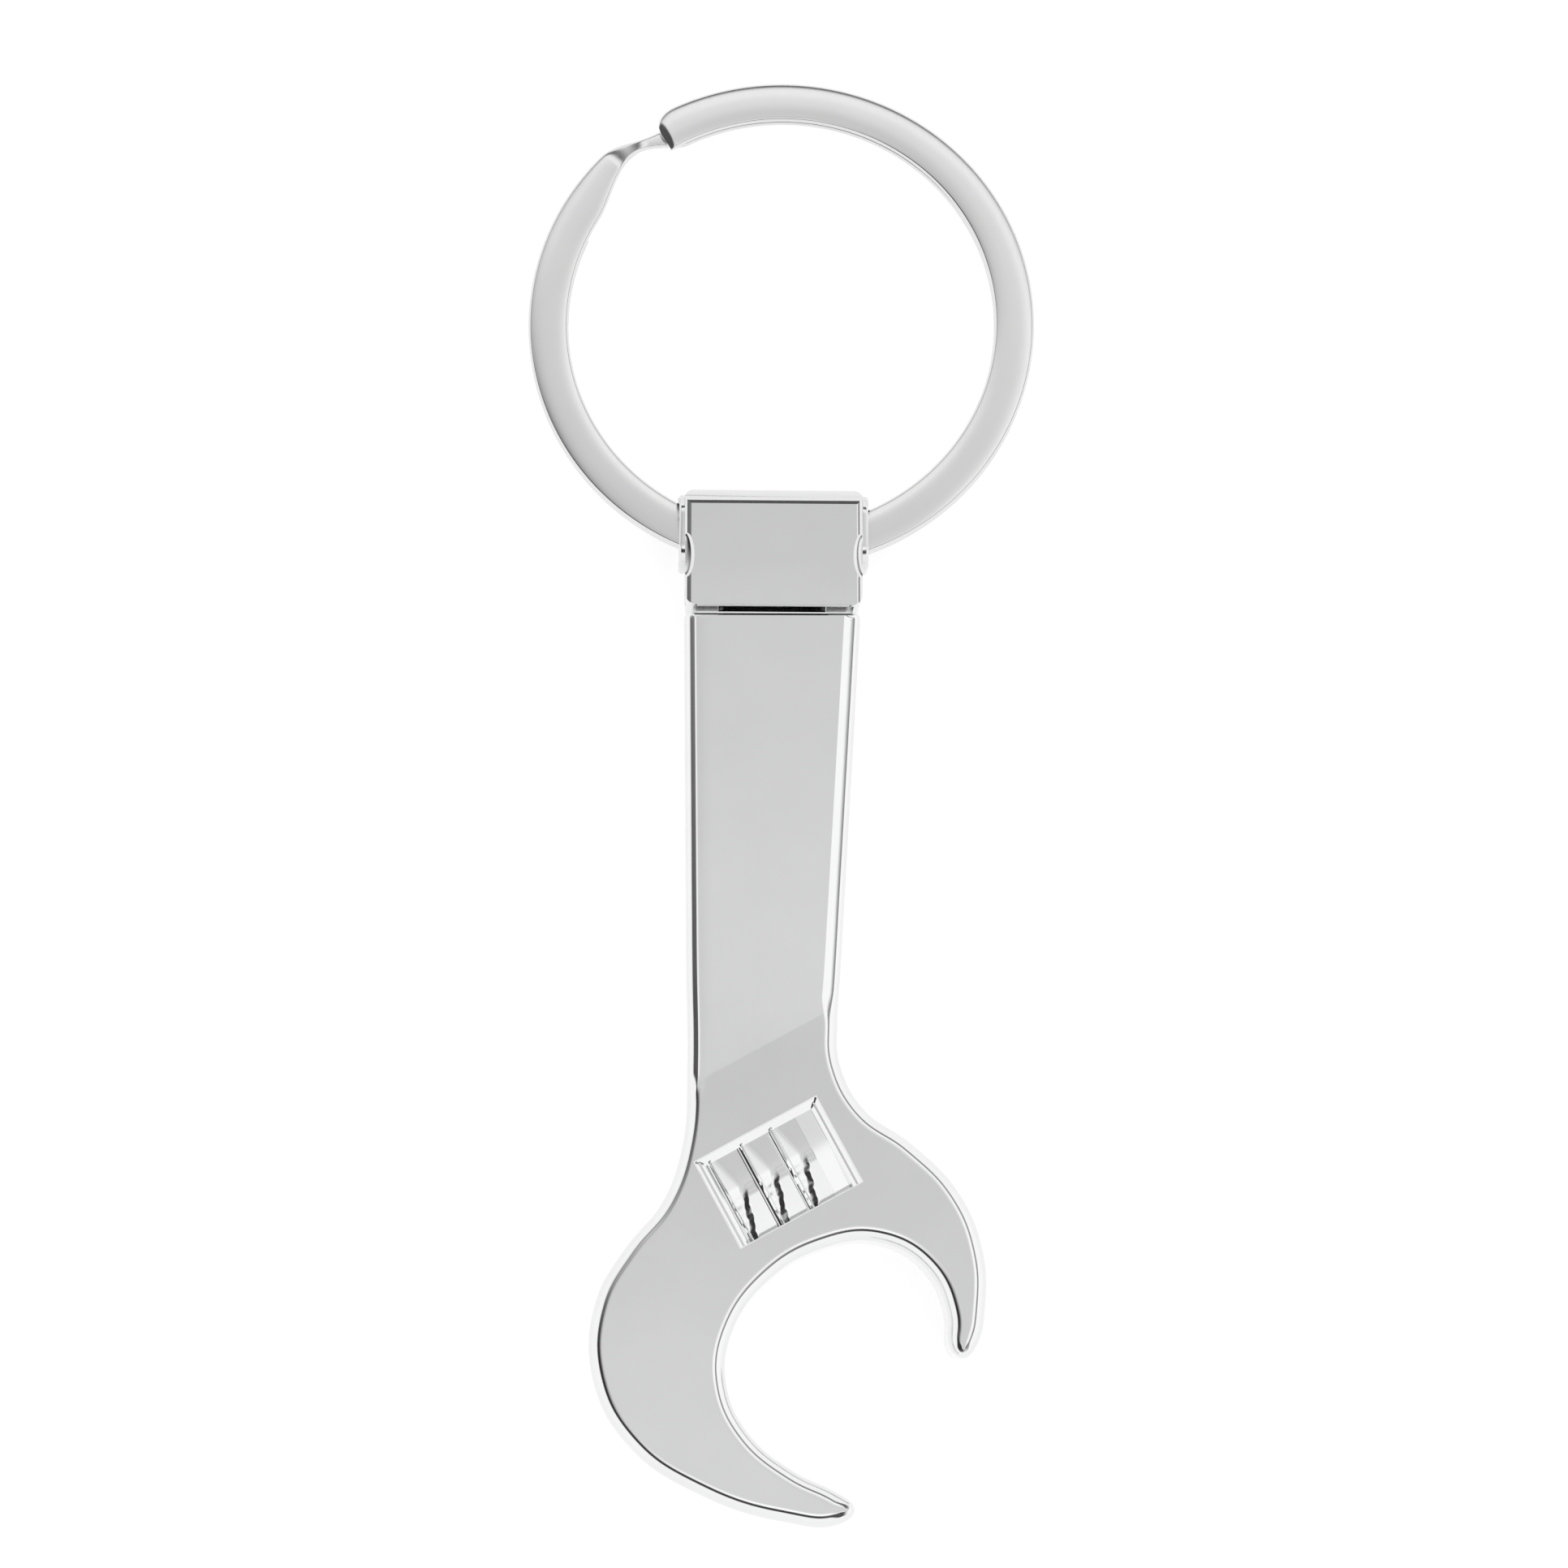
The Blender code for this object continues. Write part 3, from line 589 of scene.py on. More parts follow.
def worm_lines():
    """The grid lines along and across the recess, doubled at the steps in it."""
    along = list(np.linspace(0, WORM_LENGTH, WORM_GRID[0]))
    near_right = [WORM_LENGTH - distance for distance in (*RIGHT_LEDGE, RIGHT_SLOPE_WIDTH)]
    for step in (*LEFT_LEDGE, LEFT_LAND_WIDTH, COLLAR_AT, *near_right):
        along += [step - BESIDE_STEP, step + BESIDE_STEP]
    across = list(np.linspace(-WORM_WIDTH / 2, WORM_WIDTH / 2, WORM_GRID[1]))
    step = WORM_WIDTH / 2 - UPPER_SLOPE_WIDTH
    across += [step - BESIDE_STEP, step + BESIDE_STEP]
    return np.array(sorted(along)), np.array(sorted(across))


def worm_rim(grow):
    """Points round the recess, moved outwards by grow, one for each grid line."""
    along, across = worm_lines()
    far, wide = WORM_LENGTH, WORM_WIDTH / 2
    stretch_a = (along - far / 2) * (far / 2 + grow) / (far / 2) + far / 2
    stretch_c = across * (wide + grow) / wide
    bottom = worm_place(stretch_a[:-1], np.full(len(along) - 1, -wide - grow))
    right = worm_place(np.full(len(across) - 1, far + grow), stretch_c[:-1])
    top = worm_place(stretch_a[:0:-1], np.full(len(along) - 1, wide + grow))
    left = worm_place(np.full(len(across) - 1, -grow), stretch_c[:0:-1])
    return np.vstack([bottom, right, top, left])


def worm_patches(face_level, facing):
    """The recess and the worm in it: a lip, upright walls and the relief itself."""
    along, across = worm_lines()
    grid_a, grid_c = np.meshgrid(along, across, indexing="ij")
    depth = worm_depth(grid_a, grid_c)
    flat = worm_place(grid_a, grid_c)
    relief = np.concatenate([flat, (face_level - facing * depth)[..., None]], -1).reshape(-1, 3)
    columns = len(across)
    faces = []
    for i in range(len(along) - 1):
        faces += strip_faces(i * columns, (i + 1) * columns, columns, closed=False)
    lip_out = worm_rim(LIP)
    lip_in = worm_rim(0.0)
    count = len(lip_in)
    wall_along, wall_across = worm_axes(lip_in)
    wide = WORM_WIDTH / 2
    wall_foot = worm_depth(np.clip(wall_along, 0, WORM_LENGTH), np.clip(wall_across, -wide, wide))
    rows = []
    for inwards, fallen in LIP_ROUNDING:
        ring = lip_out * (1 - inwards) + lip_in * inwards
        rows.append(np.c_[ring, np.full(count, face_level - facing * LIP * fallen)])
    rows.append(np.c_[lip_in, face_level - facing * wall_foot])
    wall = np.vstack(rows)
    wall_faces = []
    for row in range(len(rows) - 1):
        wall_faces += strip_faces(row * count, (row + 1) * count, count)
    return [(relief, faces), (wall, wall_faces)]


def make_body(material):
    rim = Rim()
    top = millimetres("wrench_body")[1][2]
    on_right = rim.curve[:, 0] > CREASE_MIDDLE[0]
    outer = eased_over(beyond_crease(rim.curve), OUTER_BLEND)
    inner = eased_over(beyond_crease(rim.curve - rim.normals * FACET_INSET), INNER_BLEND)
    inner = np.where(on_right, inner, outer)
    runs = len(HEAD_EDGE)
    on_handle = np.stack([outer] * OUTER_RUNS + [inner] * (runs - OUTER_RUNS), 1)
    on_right = on_right[:, None].astype(float)
    along_rim = len(rim.curve)
    tip = np.zeros(along_rim)
    for x, y, reach in JAW_TIPS:
        tip = np.maximum(tip, ease(2 - 2 * np.hypot(rim.curve[:, 0] - x, rim.curve[:, 1] - y) / reach))
    tip = tip[:, None] * np.ones(runs)
    weights = ((1 - on_handle) * (1 - tip), tip, on_handle * on_right, on_handle * (1 - on_right))
    insets, drops = rim_profile((HEAD_EDGE, TIP_EDGE, RIGHT_EDGE, LEFT_EDGE), weights)
    insets = unfolded(rim.curve, rim.normals, insets)
    end_insets, end_drops = rim_profile((END_EDGE,), (np.ones((1, runs)),))

    def face_level(points):
        return top - np.maximum(beyond_crease(points), 0) * tan(HANDLE_FALL)

    rows = []
    for step in range(insets.shape[1] - 1, -1, -1):
        flat = rim.ring(insets[:, step], end_insets[0, step])
        rows.append(np.c_[flat, face_level(flat) - rim.drops(drops[:, step], end_drops[0, step])])
    edge = rim.ring(np.zeros(along_rim), 0.0)
    back = np.full(along_rim, BACK_FILLET)
    for level in WALL_LEVELS:
        rows.append(np.c_[edge, np.full(len(edge), level)])
    for step in range(FILLET_STEPS + 1):
        turn = pi / 2 * step / FILLET_STEPS
        flat = rim.ring(back * (1 - cos(turn)), END_FILLET * (1 - cos(turn)))
        level = rim.drops(back * (1 - sin(turn)), END_FILLET * (1 - sin(turn)))
        rows.append(np.c_[flat, level])
    count = len(rows[0])
    loft = np.vstack(rows)
    loft_faces = []
    for row in range(len(rows) - 1):
        loft_faces += strip_faces(row * count, (row + 1) * count, count)
    hole = worm_rim(LIP)
    front = fill_face(rows[0][:, :2], hole, face_level)
    rear = fill_face(rows[-1][:, :2], hole, lambda points: np.zeros(len(points)), crease=False)
    patches = [(loft, loft_faces)] + front + rear + worm_patches(top, 1) + worm_patches(0.0, -1)
    mesh = mesh_of("wrench_body_shell", patches)
    finished("wrench_casting", mesh, "wrench", material, ["wrench_body"])


# ---------------------------------------------------------------- modelling helpers


def plain(name, bm):
    """A helper object from a bmesh in millimetres."""
    bmesh.ops.scale(bm, verts=bm.verts, vec=(MM, MM, MM))
    mesh = bpy.data.meshes.new(name)
    bm.to_mesh(mesh)
    bm.free()
    made = bpy.data.objects.new(name, mesh)
    bpy.context.scene.collection.objects.link(made)
    return made


def block(low, high):
    """A box between two corners."""
    bm = bmesh.new()
    bmesh.ops.create_cube(bm, size=1.0)
    low, high = Vector(low), Vector(high)
    bmesh.ops.scale(bm, verts=bm.verts, vec=high - low)
    bmesh.ops.translate(bm, verts=bm.verts, vec=(low + high) / 2)
    return bm


def rod(x_from, x_to, y, z, radius, segments=BORE_SEGMENTS):
    """A round bar along X."""
    bm = bmesh.new()
    size = {"radius1": radius, "radius2": radius, "depth": x_to - x_from}
    bmesh.ops.create_cone(bm, cap_ends=True, segments=segments, **size)
    turn = Matrix.Translation(((x_from + x_to) / 2, y, z)) @ Matrix.Rotation(pi / 2, 4, "Y")
    bmesh.ops.transform(bm, matrix=turn, verts=bm.verts)
    return bm


def around_ends(bm):
    """The edges round the two ends of a bar along X."""
    return [edge for edge in bm.edges if abs(edge.verts[0].co.x - edge.verts[1].co.x) < SAME_PLACE]


def lengthwise(bm):
    """The edges that run along a bar along X."""
    ends = set(around_ends(bm))
    return [edge for edge in bm.edges if edge not in ends]


def rounded(bm, edges, width, steps):
    """The same bmesh with some of its edges rounded."""
    bmesh.ops.bevel(bm, geom=edges, offset=width, segments=steps, profile=0.5, affect="EDGES")
    return bm


def combined(base, steps, sharp=SHARP):
    """The smooth mesh of the base after a list of (operation, other) Booleans. The helpers are removed."""
    others = []
    for operation, bm in steps:
        other = plain("helper", bm)
        others.append(other)
        modifier = base.modifiers.new("shape", "BOOLEAN")
        modifier.operation = operation
        modifier.solver = "EXACT"
        modifier.object = other
    bpy.context.view_layer.update()
    evaluated = base.evaluated_get(bpy.context.evaluated_depsgraph_get())
    mesh = bpy.data.meshes.new_from_object(evaluated)
    for helper in [base, *others]:
        bpy.data.objects.remove(helper, do_unlink=True)
    bm = bmesh.new()
    bm.from_mesh(mesh)
    bmesh.ops.remove_doubles(bm, verts=bm.verts, dist=MERGE)
    bmesh.ops.dissolve_degenerate(bm, edges=bm.edges, dist=MERGE)
    bmesh.ops.delete(bm, geom=[edge for edge in bm.edges if not edge.link_faces], context="EDGES")
    bm.to_mesh(mesh)
    bm.free()
    mesh.shade_smooth()
    mesh.set_sharp_from_angle(angle=radians(sharp))
    return mesh


def rounded_rectangle(low, high, radii, steps):
    """Points clockwise round a rectangle, its corner radii given from the lower left one clockwise."""
    corners = (
        (low[0], low[1], 1, 1, radii[0], pi * 1.5),
        (low[0], high[1], 1, -1, radii[1], pi),
        (high[0], high[1], -1, -1, radii[2], pi / 2),
        (high[0], low[1], -1, 1, radii[3], 0.0),
    )
    points = []
    for x, y, inwards_x, inwards_y, radius, start in corners:
        centre_x, centre_y = x + inwards_x * radius, y + inwards_y * radius
        for step in range(steps + 1):
            angle = start - pi / 2 * step / steps
            points.append((centre_x + radius * cos(angle), centre_y + radius * sin(angle)))
    return points


def prism(points, low, high):
    """A straight prism along Z from a flat outline."""
    bm = bmesh.new()
    base = bm.faces.new([bm.verts.new((x, y, low)) for x, y in points])
    risen = bmesh.ops.extrude_face_region(bm, geom=[base])["geom"]
    risen = [g for g in risen if isinstance(g, bmesh.types.BMVert)]
    bmesh.ops.translate(bm, verts=risen, vec=(0, 0, high - low))
    bmesh.ops.recalc_face_normals(bm, faces=bm.faces)
    return bm


# ---------------------------------------------------------------- link, pin and tongue


def link_sides(low, high):
    """The link's shape seen from the side, as a bar along X, its far end rounded over with a facet."""
    insets, drops = rim_profile((LINK_TOP,), (np.ones((1, len(LINK_TOP))),))
    front = [(drop - high[2], high[1] - inset) for inset, drop in zip(insets[0], drops[0])]
    back = [(-drop, high[1] - inset) for inset, drop in zip(insets[0], drops[0])]
    radii = (LINK_FOOT_ROUNDING,) * 4
    bottom = rounded_rectangle((-high[2], low[1]), (0.0, high[1]), radii, LINK_FOOT_STEPS)
    kept = [point for point in bottom if point[1] < (low[1] + high[1]) / 2]
    left = [point for point in kept if point[0] < -high[2] / 2]
    right = [point for point in kept if point[0] >= -high[2] / 2]
    bm = prism(left + front[::-1] + back + right, 0.0, high[0] - low[0] + 2 * CUTTER_MARGIN)
    stand_up = Matrix.Translation((low[0] - CUTTER_MARGIN, 0, 0)) @ Matrix.Rotation(pi / 2, 4, "Y")
    bmesh.ops.transform(bm, matrix=stand_up, verts=bm.verts)
    bmesh.ops.recalc_face_normals(bm, faces=bm.faces)
    return bm


def link_section(low, high):
    """The link's shape seen from the handle, as a bar along Y, with a facet on each front edge."""
    points = []
    for edge, side in ((LINK_LEFT, -1), (LINK_RIGHT, 1)):
        insets, drops = rim_profile((edge,), (np.ones((1, len(edge))),))
        x = low[0] if side < 0 else high[0]
        front = [(x - side * inset, high[2] - drop) for inset, drop in zip(insets[0], drops[0])]
        back = [(x - side * inset, drop) for inset, drop in zip(insets[0], drops[0])]
        points += back[::-1] + front if side < 0 else front[::-1] + back
    bm = prism(points, 0.0, high[1] - low[1] + 2 * CUTTER_MARGIN)
    lay = Matrix.Translation((0, high[1] + CUTTER_MARGIN, 0)) @ Matrix.Rotation(pi / 2, 4, "X")
    bmesh.ops.transform(bm, matrix=lay, verts=bm.verts)
    bmesh.ops.recalc_face_normals(bm, faces=bm.faces)
    return bm


def link_outline(low, high):
    """The link seen from the front: rounded at the top, slightly narrower and rounder at the foot."""
    points = []
    radii = (LINK_FOOT_CORNER, LINK_SHOULDER, LINK_SHOULDER, LINK_FOOT_CORNER)
    for x, y in rounded_rectangle(low[:2], high[:2], radii, LINK_CORNER_STEPS):
        share = (high[1] - y) / (high[1] - low[1])
        middle = (low[0] + high[0]) / 2
        points.append((x + (LINK_TAPER * share if x < middle else -LINK_TAPER * share), y))
    return points


def eye_shape(middle_x, middle_z, reach):
    """The hole for the ring, along X. It widens from front to back towards each mouth."""
    bm = block(
        (middle_x - reach, EYE_Y[0], middle_z - EYE_HEIGHT / 2),
        (middle_x + reach, EYE_Y[1], middle_z + EYE_HEIGHT / 2),
    )
    for side in (-1, 1):
        everything = bm.verts[:] + bm.edges[:] + bm.faces[:]
        at = (middle_x + side * EYE_STRAIGHT, 0, 0)
        bmesh.ops.bisect_plane(bm, geom=everything, dist=ON_PLANE, plane_co=at, plane_no=(1, 0, 0))
    for vert in bm.verts:
        if abs(vert.co.x - middle_x) > (EYE_STRAIGHT + reach) / 2:
            vert.co.z += EYE_FLARE if vert.co.z > middle_z else -EYE_FLARE
    bmesh.ops.recalc_face_normals(bm, faces=bm.faces)
    return rounded(bm, lengthwise(bm), EYE_ROUNDING, EYE_STEPS)


def pin_axis():
    """The hinge pin's two ends along X, and the Y and Z of its axis."""
    low, high = millimetres("hinge_pin")
    return low[0], high[0], (low[1] + high[1]) / 2, (low[2] + high[2]) / 2


def make_link(material, pin_material):
    low, high = millimetres("link")
    low[0] += COLLAR_PROUD
    high[0] -= COLLAR_PROUD
    middle_x, middle_z = (low[0] + high[0]) / 2, high[2] / 2
    pin_from, pin_to, pin_y, pin_z = pin_axis()
    plate = prism(link_outline(low, high), 0.0, high[2])
    collar = block(
        (low[0] - COLLAR_PROUD, EYE_Y[0] - COLLAR_WALL, middle_z - EYE_HEIGHT / 2 - EYE_FLARE),
        (high[0] + COLLAR_PROUD, EYE_Y[1] + COLLAR_WALL, middle_z + EYE_HEIGHT / 2 + EYE_FLARE),
    )
    rounded(collar, lengthwise(collar), COLLAR_CORNER, COLLAR_STEPS)
    rounded(collar, around_ends(collar), COLLAR_LIP, COLLAR_LIP_STEPS)
    chamber = block(
        (middle_x - CHAMBER_WIDTH / 2, CHAMBER_Y[0], middle_z - CHAMBER_HEIGHT / 2),
        (middle_x + CHAMBER_WIDTH / 2, CHAMBER_Y[1], middle_z + CHAMBER_HEIGHT / 2),
    )
    cavity = block(
        (middle_x - CAVITY_WIDTH / 2, low[1] - CUTTER_MARGIN, WALL),
        (middle_x + CAVITY_WIDTH / 2, CAVITY_TOP_Y, high[2] - WALL),
    )
    rounded(cavity, cavity.edges[:], CAVITY_ROUNDING, CAVITY_STEPS)
    pocket = block(
        (low[0] + POCKET_INSET, low[1] - CUTTER_MARGIN, WALL),
        (high[0] - POCKET_INSET, low[1] + POCKET_DEPTH, high[2] - WALL),
    )
    eye_reach = (high[0] - low[0]) / 2 + CUTTER_MARGIN
    bore = rod(low[0] - CUTTER_MARGIN, high[0] + CUTTER_MARGIN, pin_y, pin_z, PIN_RADIUS + PIN_GAP)
    steps = [
        ("INTERSECT", link_sides(low, high)),
        ("INTERSECT", link_section(low, high)),
        ("UNION", collar),
        ("DIFFERENCE", pocket),
        ("DIFFERENCE", cavity),
        ("DIFFERENCE", eye_shape(middle_x, middle_z, eye_reach)),
        ("DIFFERENCE", chamber),
        ("DIFFERENCE", bore),
    ]
    for x in (low[0], high[0]):
        for z in (0.0, high[2]):
            scallop = bmesh.new()
            around, upwards = SCALLOP_STEPS
            bmesh.ops.create_uvsphere(scallop, u_segments=around, v_segments=upwards, radius=1.0)
            place = Matrix.Translation((x, SCALLOP_Y, z)) @ Matrix.Diagonal((*SCALLOP_SIZE, 1.0))
            bmesh.ops.transform(scallop, matrix=place, verts=scallop.verts)
            steps.append(("DIFFERENCE", scallop))
    mesh = combined(plain("link_plate", plate), steps, sharp=LINK_SHARP)
    finished("link_casting", mesh, "link", material, ["link"])
    pin = rod(pin_from, pin_to, pin_y, pin_z, PIN_RADIUS, ROD_SEGMENTS)
    rounded(pin, around_ends(pin), PIN_ROUNDING, PIN_STEPS)
    pin_mesh = combined(plain("pin_helper", pin), [])
    finished("pressed_pin", pin_mesh, "link", pin_material, ["hinge_pin"])


def make_tongue(material):
    """The tongue on the pin, with a low shoulder where it leaves the body."""
    pin_from, pin_to, pin_y, pin_z = pin_axis()
    middle_x = (pin_from + pin_to) / 2
    x_from, x_to = middle_x - TONGUE_WIDTH / 2, middle_x + TONGUE_WIDTH / 2
    end_y = rim_chain("wrench_body", RIM_LEVEL)[0][1]
    neck = block((x_from, end_y - TONGUE_ROOT, pin_z - TONGUE_RADIUS), (x_to, pin_y, pin_z + TONGUE_RADIUS))
    link_low, link_high = millimetres("link")
    shoulder = block(
        (link_low[0] + SHOULDER_INSET, end_y - SHOULDER_ROOT, pin_z - SHOULDER_FALL),
        (link_high[0] - SHOULDER_INSET, end_y + SHOULDER_PROUD, pin_z + SHOULDER_RISE),
    )
    bore = rod(x_from - CUTTER_MARGIN, x_to + CUTTER_MARGIN, pin_y, pin_z, PIN_RADIUS + TONGUE_GAP)
    steps = [
        ("UNION", shoulder),
        ("UNION", rod(x_from, x_to, pin_y, pin_z, TONGUE_RADIUS, ROD_SEGMENTS)),
        ("DIFFERENCE", bore),
    ]
    mesh = combined(plain("tongue_neck", neck), steps)
    finished("hinge_tongue", mesh, "wrench", material)


# ---------------------------------------------------------------- split ring


def notch(angle, start, deepest, end, depth):
    """How far a notch cuts in at an angle."""
    if angle > deepest:
        return depth * ease((start - angle) / (start - deepest))
    return depth * ease((angle - end) / (deepest - end))


def strip_section(travel):
    """The strip's section at an angle travelled, as (distance from the ring's middle, height) points."""
    upper = (STRIP_THICK + COIL_GAP) / 2
    second_pass = END_ANGLE + 360 - travel
    height = upper - 2 * upper * ease((JOGGLE_FROM - second_pass) / (JOGGLE_FROM - JOGGLE_TO))
    inner = RING_INNER + notch(second_pass, *NECK_INNER)
    outer = RING_OUTER - notch(second_pass, *NECK_OUTER)
    from_end = min(travel, LAST_TRAVEL - travel)
    if from_end < END_TAPER:
        share = 1 - from_end / END_TAPER
        outer -= END_CORNER * (1 - (1 - share**END_POWER) ** 0.5)
    middle, half = (inner + outer) / 2, (outer - inner) / 2
    cut = END_SLOPE * max(END_SLOPE_LENGTH - travel * radians(middle), 0)
    edge = min(STRIP_EDGE, half * EDGE_SHARE)
    flat = half - edge
    crown = STRIP_CROWN * min(half / FULL_CROWN_HALF, 1.0)
    rise = STRIP_THICK / 2
    points = []
    for side in (1, -1):
        for x in np.linspace(-flat, flat, FACE_POINTS):
            points.append((side * x, side * (rise - crown * abs(x / half) ** CROWN_POWER)))
        start = rise - crown * (flat / half) ** CROWN_POWER
        for turn in np.linspace(0, pi, EDGE_STEPS + 1)[1:-1]:
            points.append((side * (flat + edge * sin(turn)), side * start * cos(turn)))
    return [(middle + x, height + min(z, rise - cut)) for x, z in points]


def strip_travels():
    """The angles travelled at which the strip has a section, closest at its ends and its joggle."""
    fine_from = END_ANGLE + 360 - JOGGLE_FROM
    fine_to = END_ANGLE + 360 - NECK_OUTER[2]
    stretches = (
        (0, END_TAPER, END_STEP),
        (END_TAPER, fine_from, PLAIN_STEP),
        (fine_from, fine_to, JOGGLE_STEP),
        (fine_to, LAST_TRAVEL - END_TAPER, PLAIN_STEP),
        (LAST_TRAVEL - END_TAPER, LAST_TRAVEL, END_STEP),
    )
    travels = [0.0]
    for start, end, step in stretches:
        count = ceil((end - start) / step)
        travels += [start + (end - start) * (i + 1) / count for i in range(count)]
    return travels


def make_ring(material):
    pivot = next(j["pos_m"] for j in frame["joints"] if j["name"] == "ring_swing")
    place = Matrix.Translation(Vector(pivot) / MM) @ Matrix.Rotation(-RING_TILT, 4, "X")
    rows = []
    for travel in strip_travels():
        angle = radians(END_ANGLE - travel)
        oval = OVAL * cos(2 * (angle - radians(OVAL_ANGLE)))
        row = []
        for radius, height in strip_section(travel):
            reach = radius + oval
            row.append(place @ Vector((reach * cos(angle), RING_MIDDLE_Y + reach * sin(angle), height)))
        rows.append(np.array(row))
    count = len(rows[0])
    faces = []
    for row in range(len(rows) - 1):
        faces += strip_faces(row * count, (row + 1) * count, count)
    last = (len(rows) - 1) * count
    faces.append(tuple(range(count)))
    faces.append(tuple(range(last + count - 1, last - 1, -1)))
    mesh = mesh_of("split_ring_strip", [(np.vstack(rows), faces)], sharp=STRIP_SHARP)
    finished("flat_split_ring", mesh, "ring", material, ["split_ring"])


# ---------------------------------------------------------------- materials


def noise(nodes, links, coordinates, scale, detail, stretch=(1, 1, 1)):
    """A noise texture on object coordinates in metres, stretched along the axes."""
    mapping = nodes.new("ShaderNodeMapping")
    mapping.inputs["Scale"].default_value = stretch
    texture = nodes.new("ShaderNodeTexNoise")
    texture.inputs["Scale"].default_value = scale
    texture.inputs["Detail"].default_value = detail
    links.new(coordinates, mapping.inputs["Vector"])
    links.new(mapping.outputs["Vector"], texture.inputs["Vector"])
    return texture.outputs["Fac"]


def ramp(nodes, links, factor, stops):
    """A colour ramp with grey stops as (position, value)."""
    made = nodes.new("ShaderNodeValToRGB")
    elements = made.color_ramp.elements
    while len(elements) > 1:
        elements.remove(elements[-1])
    elements[0].position = stops[0][0]
    elements[0].color = (*[stops[0][1]] * 3, 1)
    for position, value in stops[1:]:
        element = elements.new(position)
        element.color = (value, value, value, 1)
    links.new(factor, made.inputs["Fac"])
    return made.outputs["Color"]


def plated(name, bright, tint, roughness, waviness, scratches):
    """Polished plating: cloudy tone, fine scratches, casting waves, and edges worn slightly brighter."""
    material = bpy.data.materials.new(name)
    material.use_nodes = True
    nodes, links = material.node_tree.nodes, material.node_tree.links
    shader = nodes["Principled BSDF"]
    shader.inputs["Metallic"].default_value = 1.0
    at = nodes.new("ShaderNodeTexCoord").outputs["Object"]
    clouds = noise(nodes, links, at, *CLOUDS)
    tone = ramp(nodes, links, clouds, tuple(zip(CLOUD_STOPS, (bright * CLOUD_DARKEST, bright))))
    softened = nodes.new("ShaderNodeBevel")
    softened.samples = WEAR_SAMPLES
    softened.inputs["Radius"].default_value = WEAR_REACH * MM
    bend = nodes.new("ShaderNodeVectorMath")
    bend.operation = "DOT_PRODUCT"
    links.new(softened.outputs["Normal"], bend.inputs[0])
    links.new(nodes.new("ShaderNodeNewGeometry").outputs["Normal"], bend.inputs[1])
    worn = ramp(nodes, links, bend.outputs["Value"], WEAR_STOPS)
    mix = nodes.new("ShaderNodeMix")
    mix.data_type = "RGBA"
    links.new(worn, mix.inputs["Factor"])
    links.new(tone, mix.inputs["A"])
    mix.inputs["B"].default_value = (*[bright * WORN_BRIGHTNESS * part for part in tint], 1)
    tinted = nodes.new("ShaderNodeMix")
    tinted.data_type = "RGBA"
    tinted.blend_type = "MULTIPLY"
    tinted.inputs["Factor"].default_value = 1.0
    links.new(mix.outputs["Result"], tinted.inputs["A"])
    tinted.inputs["B"].default_value = (*tint, 1)
    links.new(tinted.outputs["Result"], shader.inputs["Base Color"])
    streaks = noise(nodes, links, at, *STREAKS, STREAK_STRETCH)
    rough = nodes.new("ShaderNodeMapRange")
    rough.inputs["To Min"].default_value = roughness * ROUGHNESS_SPREAD[0]
    rough.inputs["To Max"].default_value = roughness * ROUGHNESS_SPREAD[1]
    links.new(streaks, rough.inputs["Value"])
    links.new(rough.outputs["Result"], shader.inputs["Roughness"])
    waves = noise(nodes, links, at, *WAVES)
    broad = nodes.new("ShaderNodeBump")
    broad.inputs["Strength"].default_value = 1.0
    broad.inputs["Distance"].default_value = waviness
    links.new(waves, broad.inputs["Height"])
    fine = nodes.new("ShaderNodeBump")
    fine.inputs["Strength"].default_value = 1.0
    fine.inputs["Distance"].default_value = scratches
    links.new(streaks, fine.inputs["Height"])
    links.new(broad.outputs["Normal"], fine.inputs["Normal"])
    links.new(fine.outputs["Normal"], shader.inputs["Normal"])
    return material


# ---------------------------------------------------------------- studio


def make_floor():
    mesh = bpy.data.meshes.new("floor")
    bm = bmesh.new()
    bmesh.ops.create_grid(bm, x_segments=1, y_segments=1, size=FLOOR_HALF_SIZE)
    bm.to_mesh(mesh)
    bm.free()
    floor = bpy.data.objects.new("floor", mesh)
    floor.location.z = -FLOOR_DROP * MM
    bpy.context.scene.collection.objects.link(floor)
    material = bpy.data.materials.new("white_floor")
    material.use_nodes = True
    shader = material.node_tree.nodes["Principled BSDF"]
    shader.inputs["Base Color"].default_value = (FLOOR_GREY, FLOOR_GREY, FLOOR_GREY, 1)
    shader.inputs["Roughness"].default_value = FLOOR_ROUGHNESS
    shader.inputs["Specular IOR Level"].default_value = 0.0
    shader.inputs["Emission Color"].default_value = (1, 1, 1, 1)
    shader.inputs["Emission Strength"].default_value = FLOOR_GLOW
    mesh.materials.append(material)


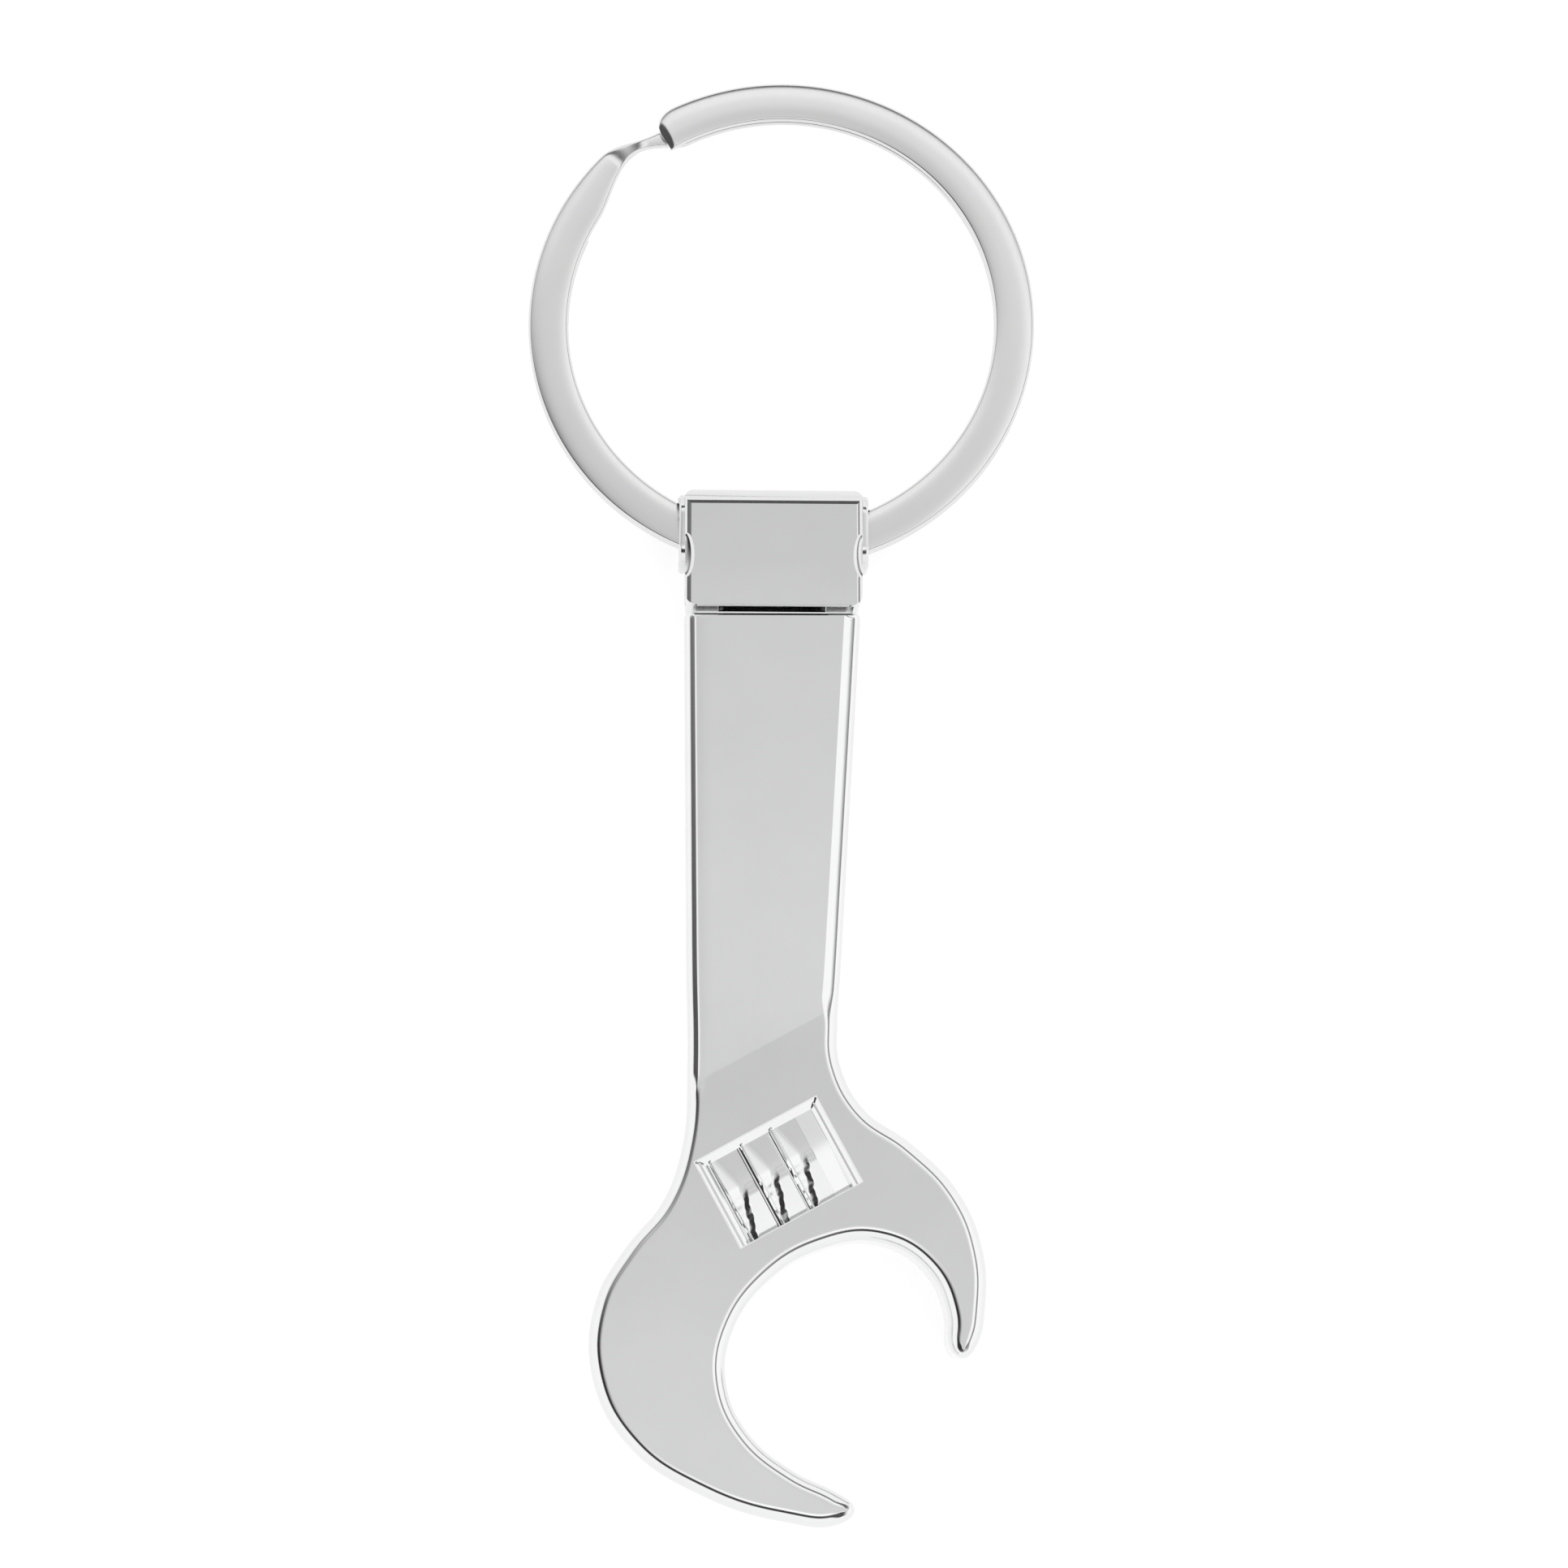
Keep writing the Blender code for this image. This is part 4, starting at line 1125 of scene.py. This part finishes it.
def make_world():
    world = bpy.data.worlds.new("studio")
    bpy.context.scene.world = world
    world.use_nodes = True
    nodes, links = world.node_tree.nodes, world.node_tree.links
    background = nodes["Background"]
    towards = nodes.new("ShaderNodeSeparateXYZ")
    links.new(nodes.new("ShaderNodeTexCoord").outputs["Generated"], towards.inputs["Vector"])

    def maths(operation, first, second=None):
        node = nodes.new("ShaderNodeMath")
        node.operation = operation
        for slot, value in enumerate((first, second)):
            if value is None:
                continue
            if isinstance(value, (int, float)):
                node.inputs[slot].default_value = value
            else:
                links.new(value, node.inputs[slot])
        return node.outputs["Value"]

    x, y, z = towards.outputs["X"], towards.outputs["Y"], towards.outputs["Z"]
    from_top = maths("DIVIDE", maths("ARCCOSINE", z), pi / 2)
    squares = {"x": maths("MULTIPLY", x, x), "y": maths("MULTIPLY", y, y)}
    total = maths("ADD", maths("ADD", squares["x"], squares["y"]), LEAST_SQUARE)
    value = None
    for side, axis, square in (("east", x, "x"), ("west", x, "x"), ("north", y, "y"), ("south", y, "y")):
        positive = side in ("east", "north")
        chosen = maths("GREATER_THAN" if positive else "LESS_THAN", axis, 0.0)
        share = maths("MULTIPLY", chosen, maths("DIVIDE", squares[square], total))
        stops = tuple((angle / RIGHT_ANGLE, level) for angle, level in STUDIO[side])
        tone = ramp(nodes, links, from_top, stops)
        part = maths("MULTIPLY", share, tone)
        value = part if value is None else maths("ADD", value, part)
    links.new(value, background.inputs["Color"])
    background.inputs["Strength"].default_value = 1.0


def make_lamp():
    """A soft overhead lamp that whitens the floor and leaves the metal's reflections alone."""
    light = bpy.data.lights.new("overhead", "SUN")
    light.energy = LAMP_POWER
    light.angle = LAMP_WIDTH
    lamp = bpy.data.objects.new("overhead", light)
    lamp.rotation_euler = (*LAMP_LEAN, 0)
    lamp.visible_glossy = False
    bpy.context.scene.collection.objects.link(lamp)


def make_camera():
    data = bpy.data.cameras.new("camera")
    data.sensor_width = SENSOR
    data.lens = LENS
    data.clip_start, data.clip_end = CLIP
    camera = bpy.data.objects.new("camera", data)
    bpy.context.scene.collection.objects.link(camera)
    back = Vector((-tan(LEAN_TO_LEFT), -tan(LEAN_TO_HEAD), 1)).normalized()
    up = (Vector((0, 1, 0)) - back * back.y).normalized()
    right = up.cross(back)
    turn = Matrix((right, up, back)).transposed().to_4x4()
    camera.matrix_world = Matrix.Translation((Vector(LOOK_AT) + back * CAMERA_DISTANCE) * MM) @ turn
    bpy.context.scene.camera = camera


def main():
    make_camera()
    make_floor()
    make_world()
    make_lamp()
    chrome, link_chrome, nickel, steel = [plated(name, *look) for name, look in PLATINGS.items()]
    make_body(chrome)
    make_link(link_chrome, steel)
    make_tongue(chrome)
    make_ring(nickel)
    bpy.context.scene.view_settings.view_transform = "Standard"


main()
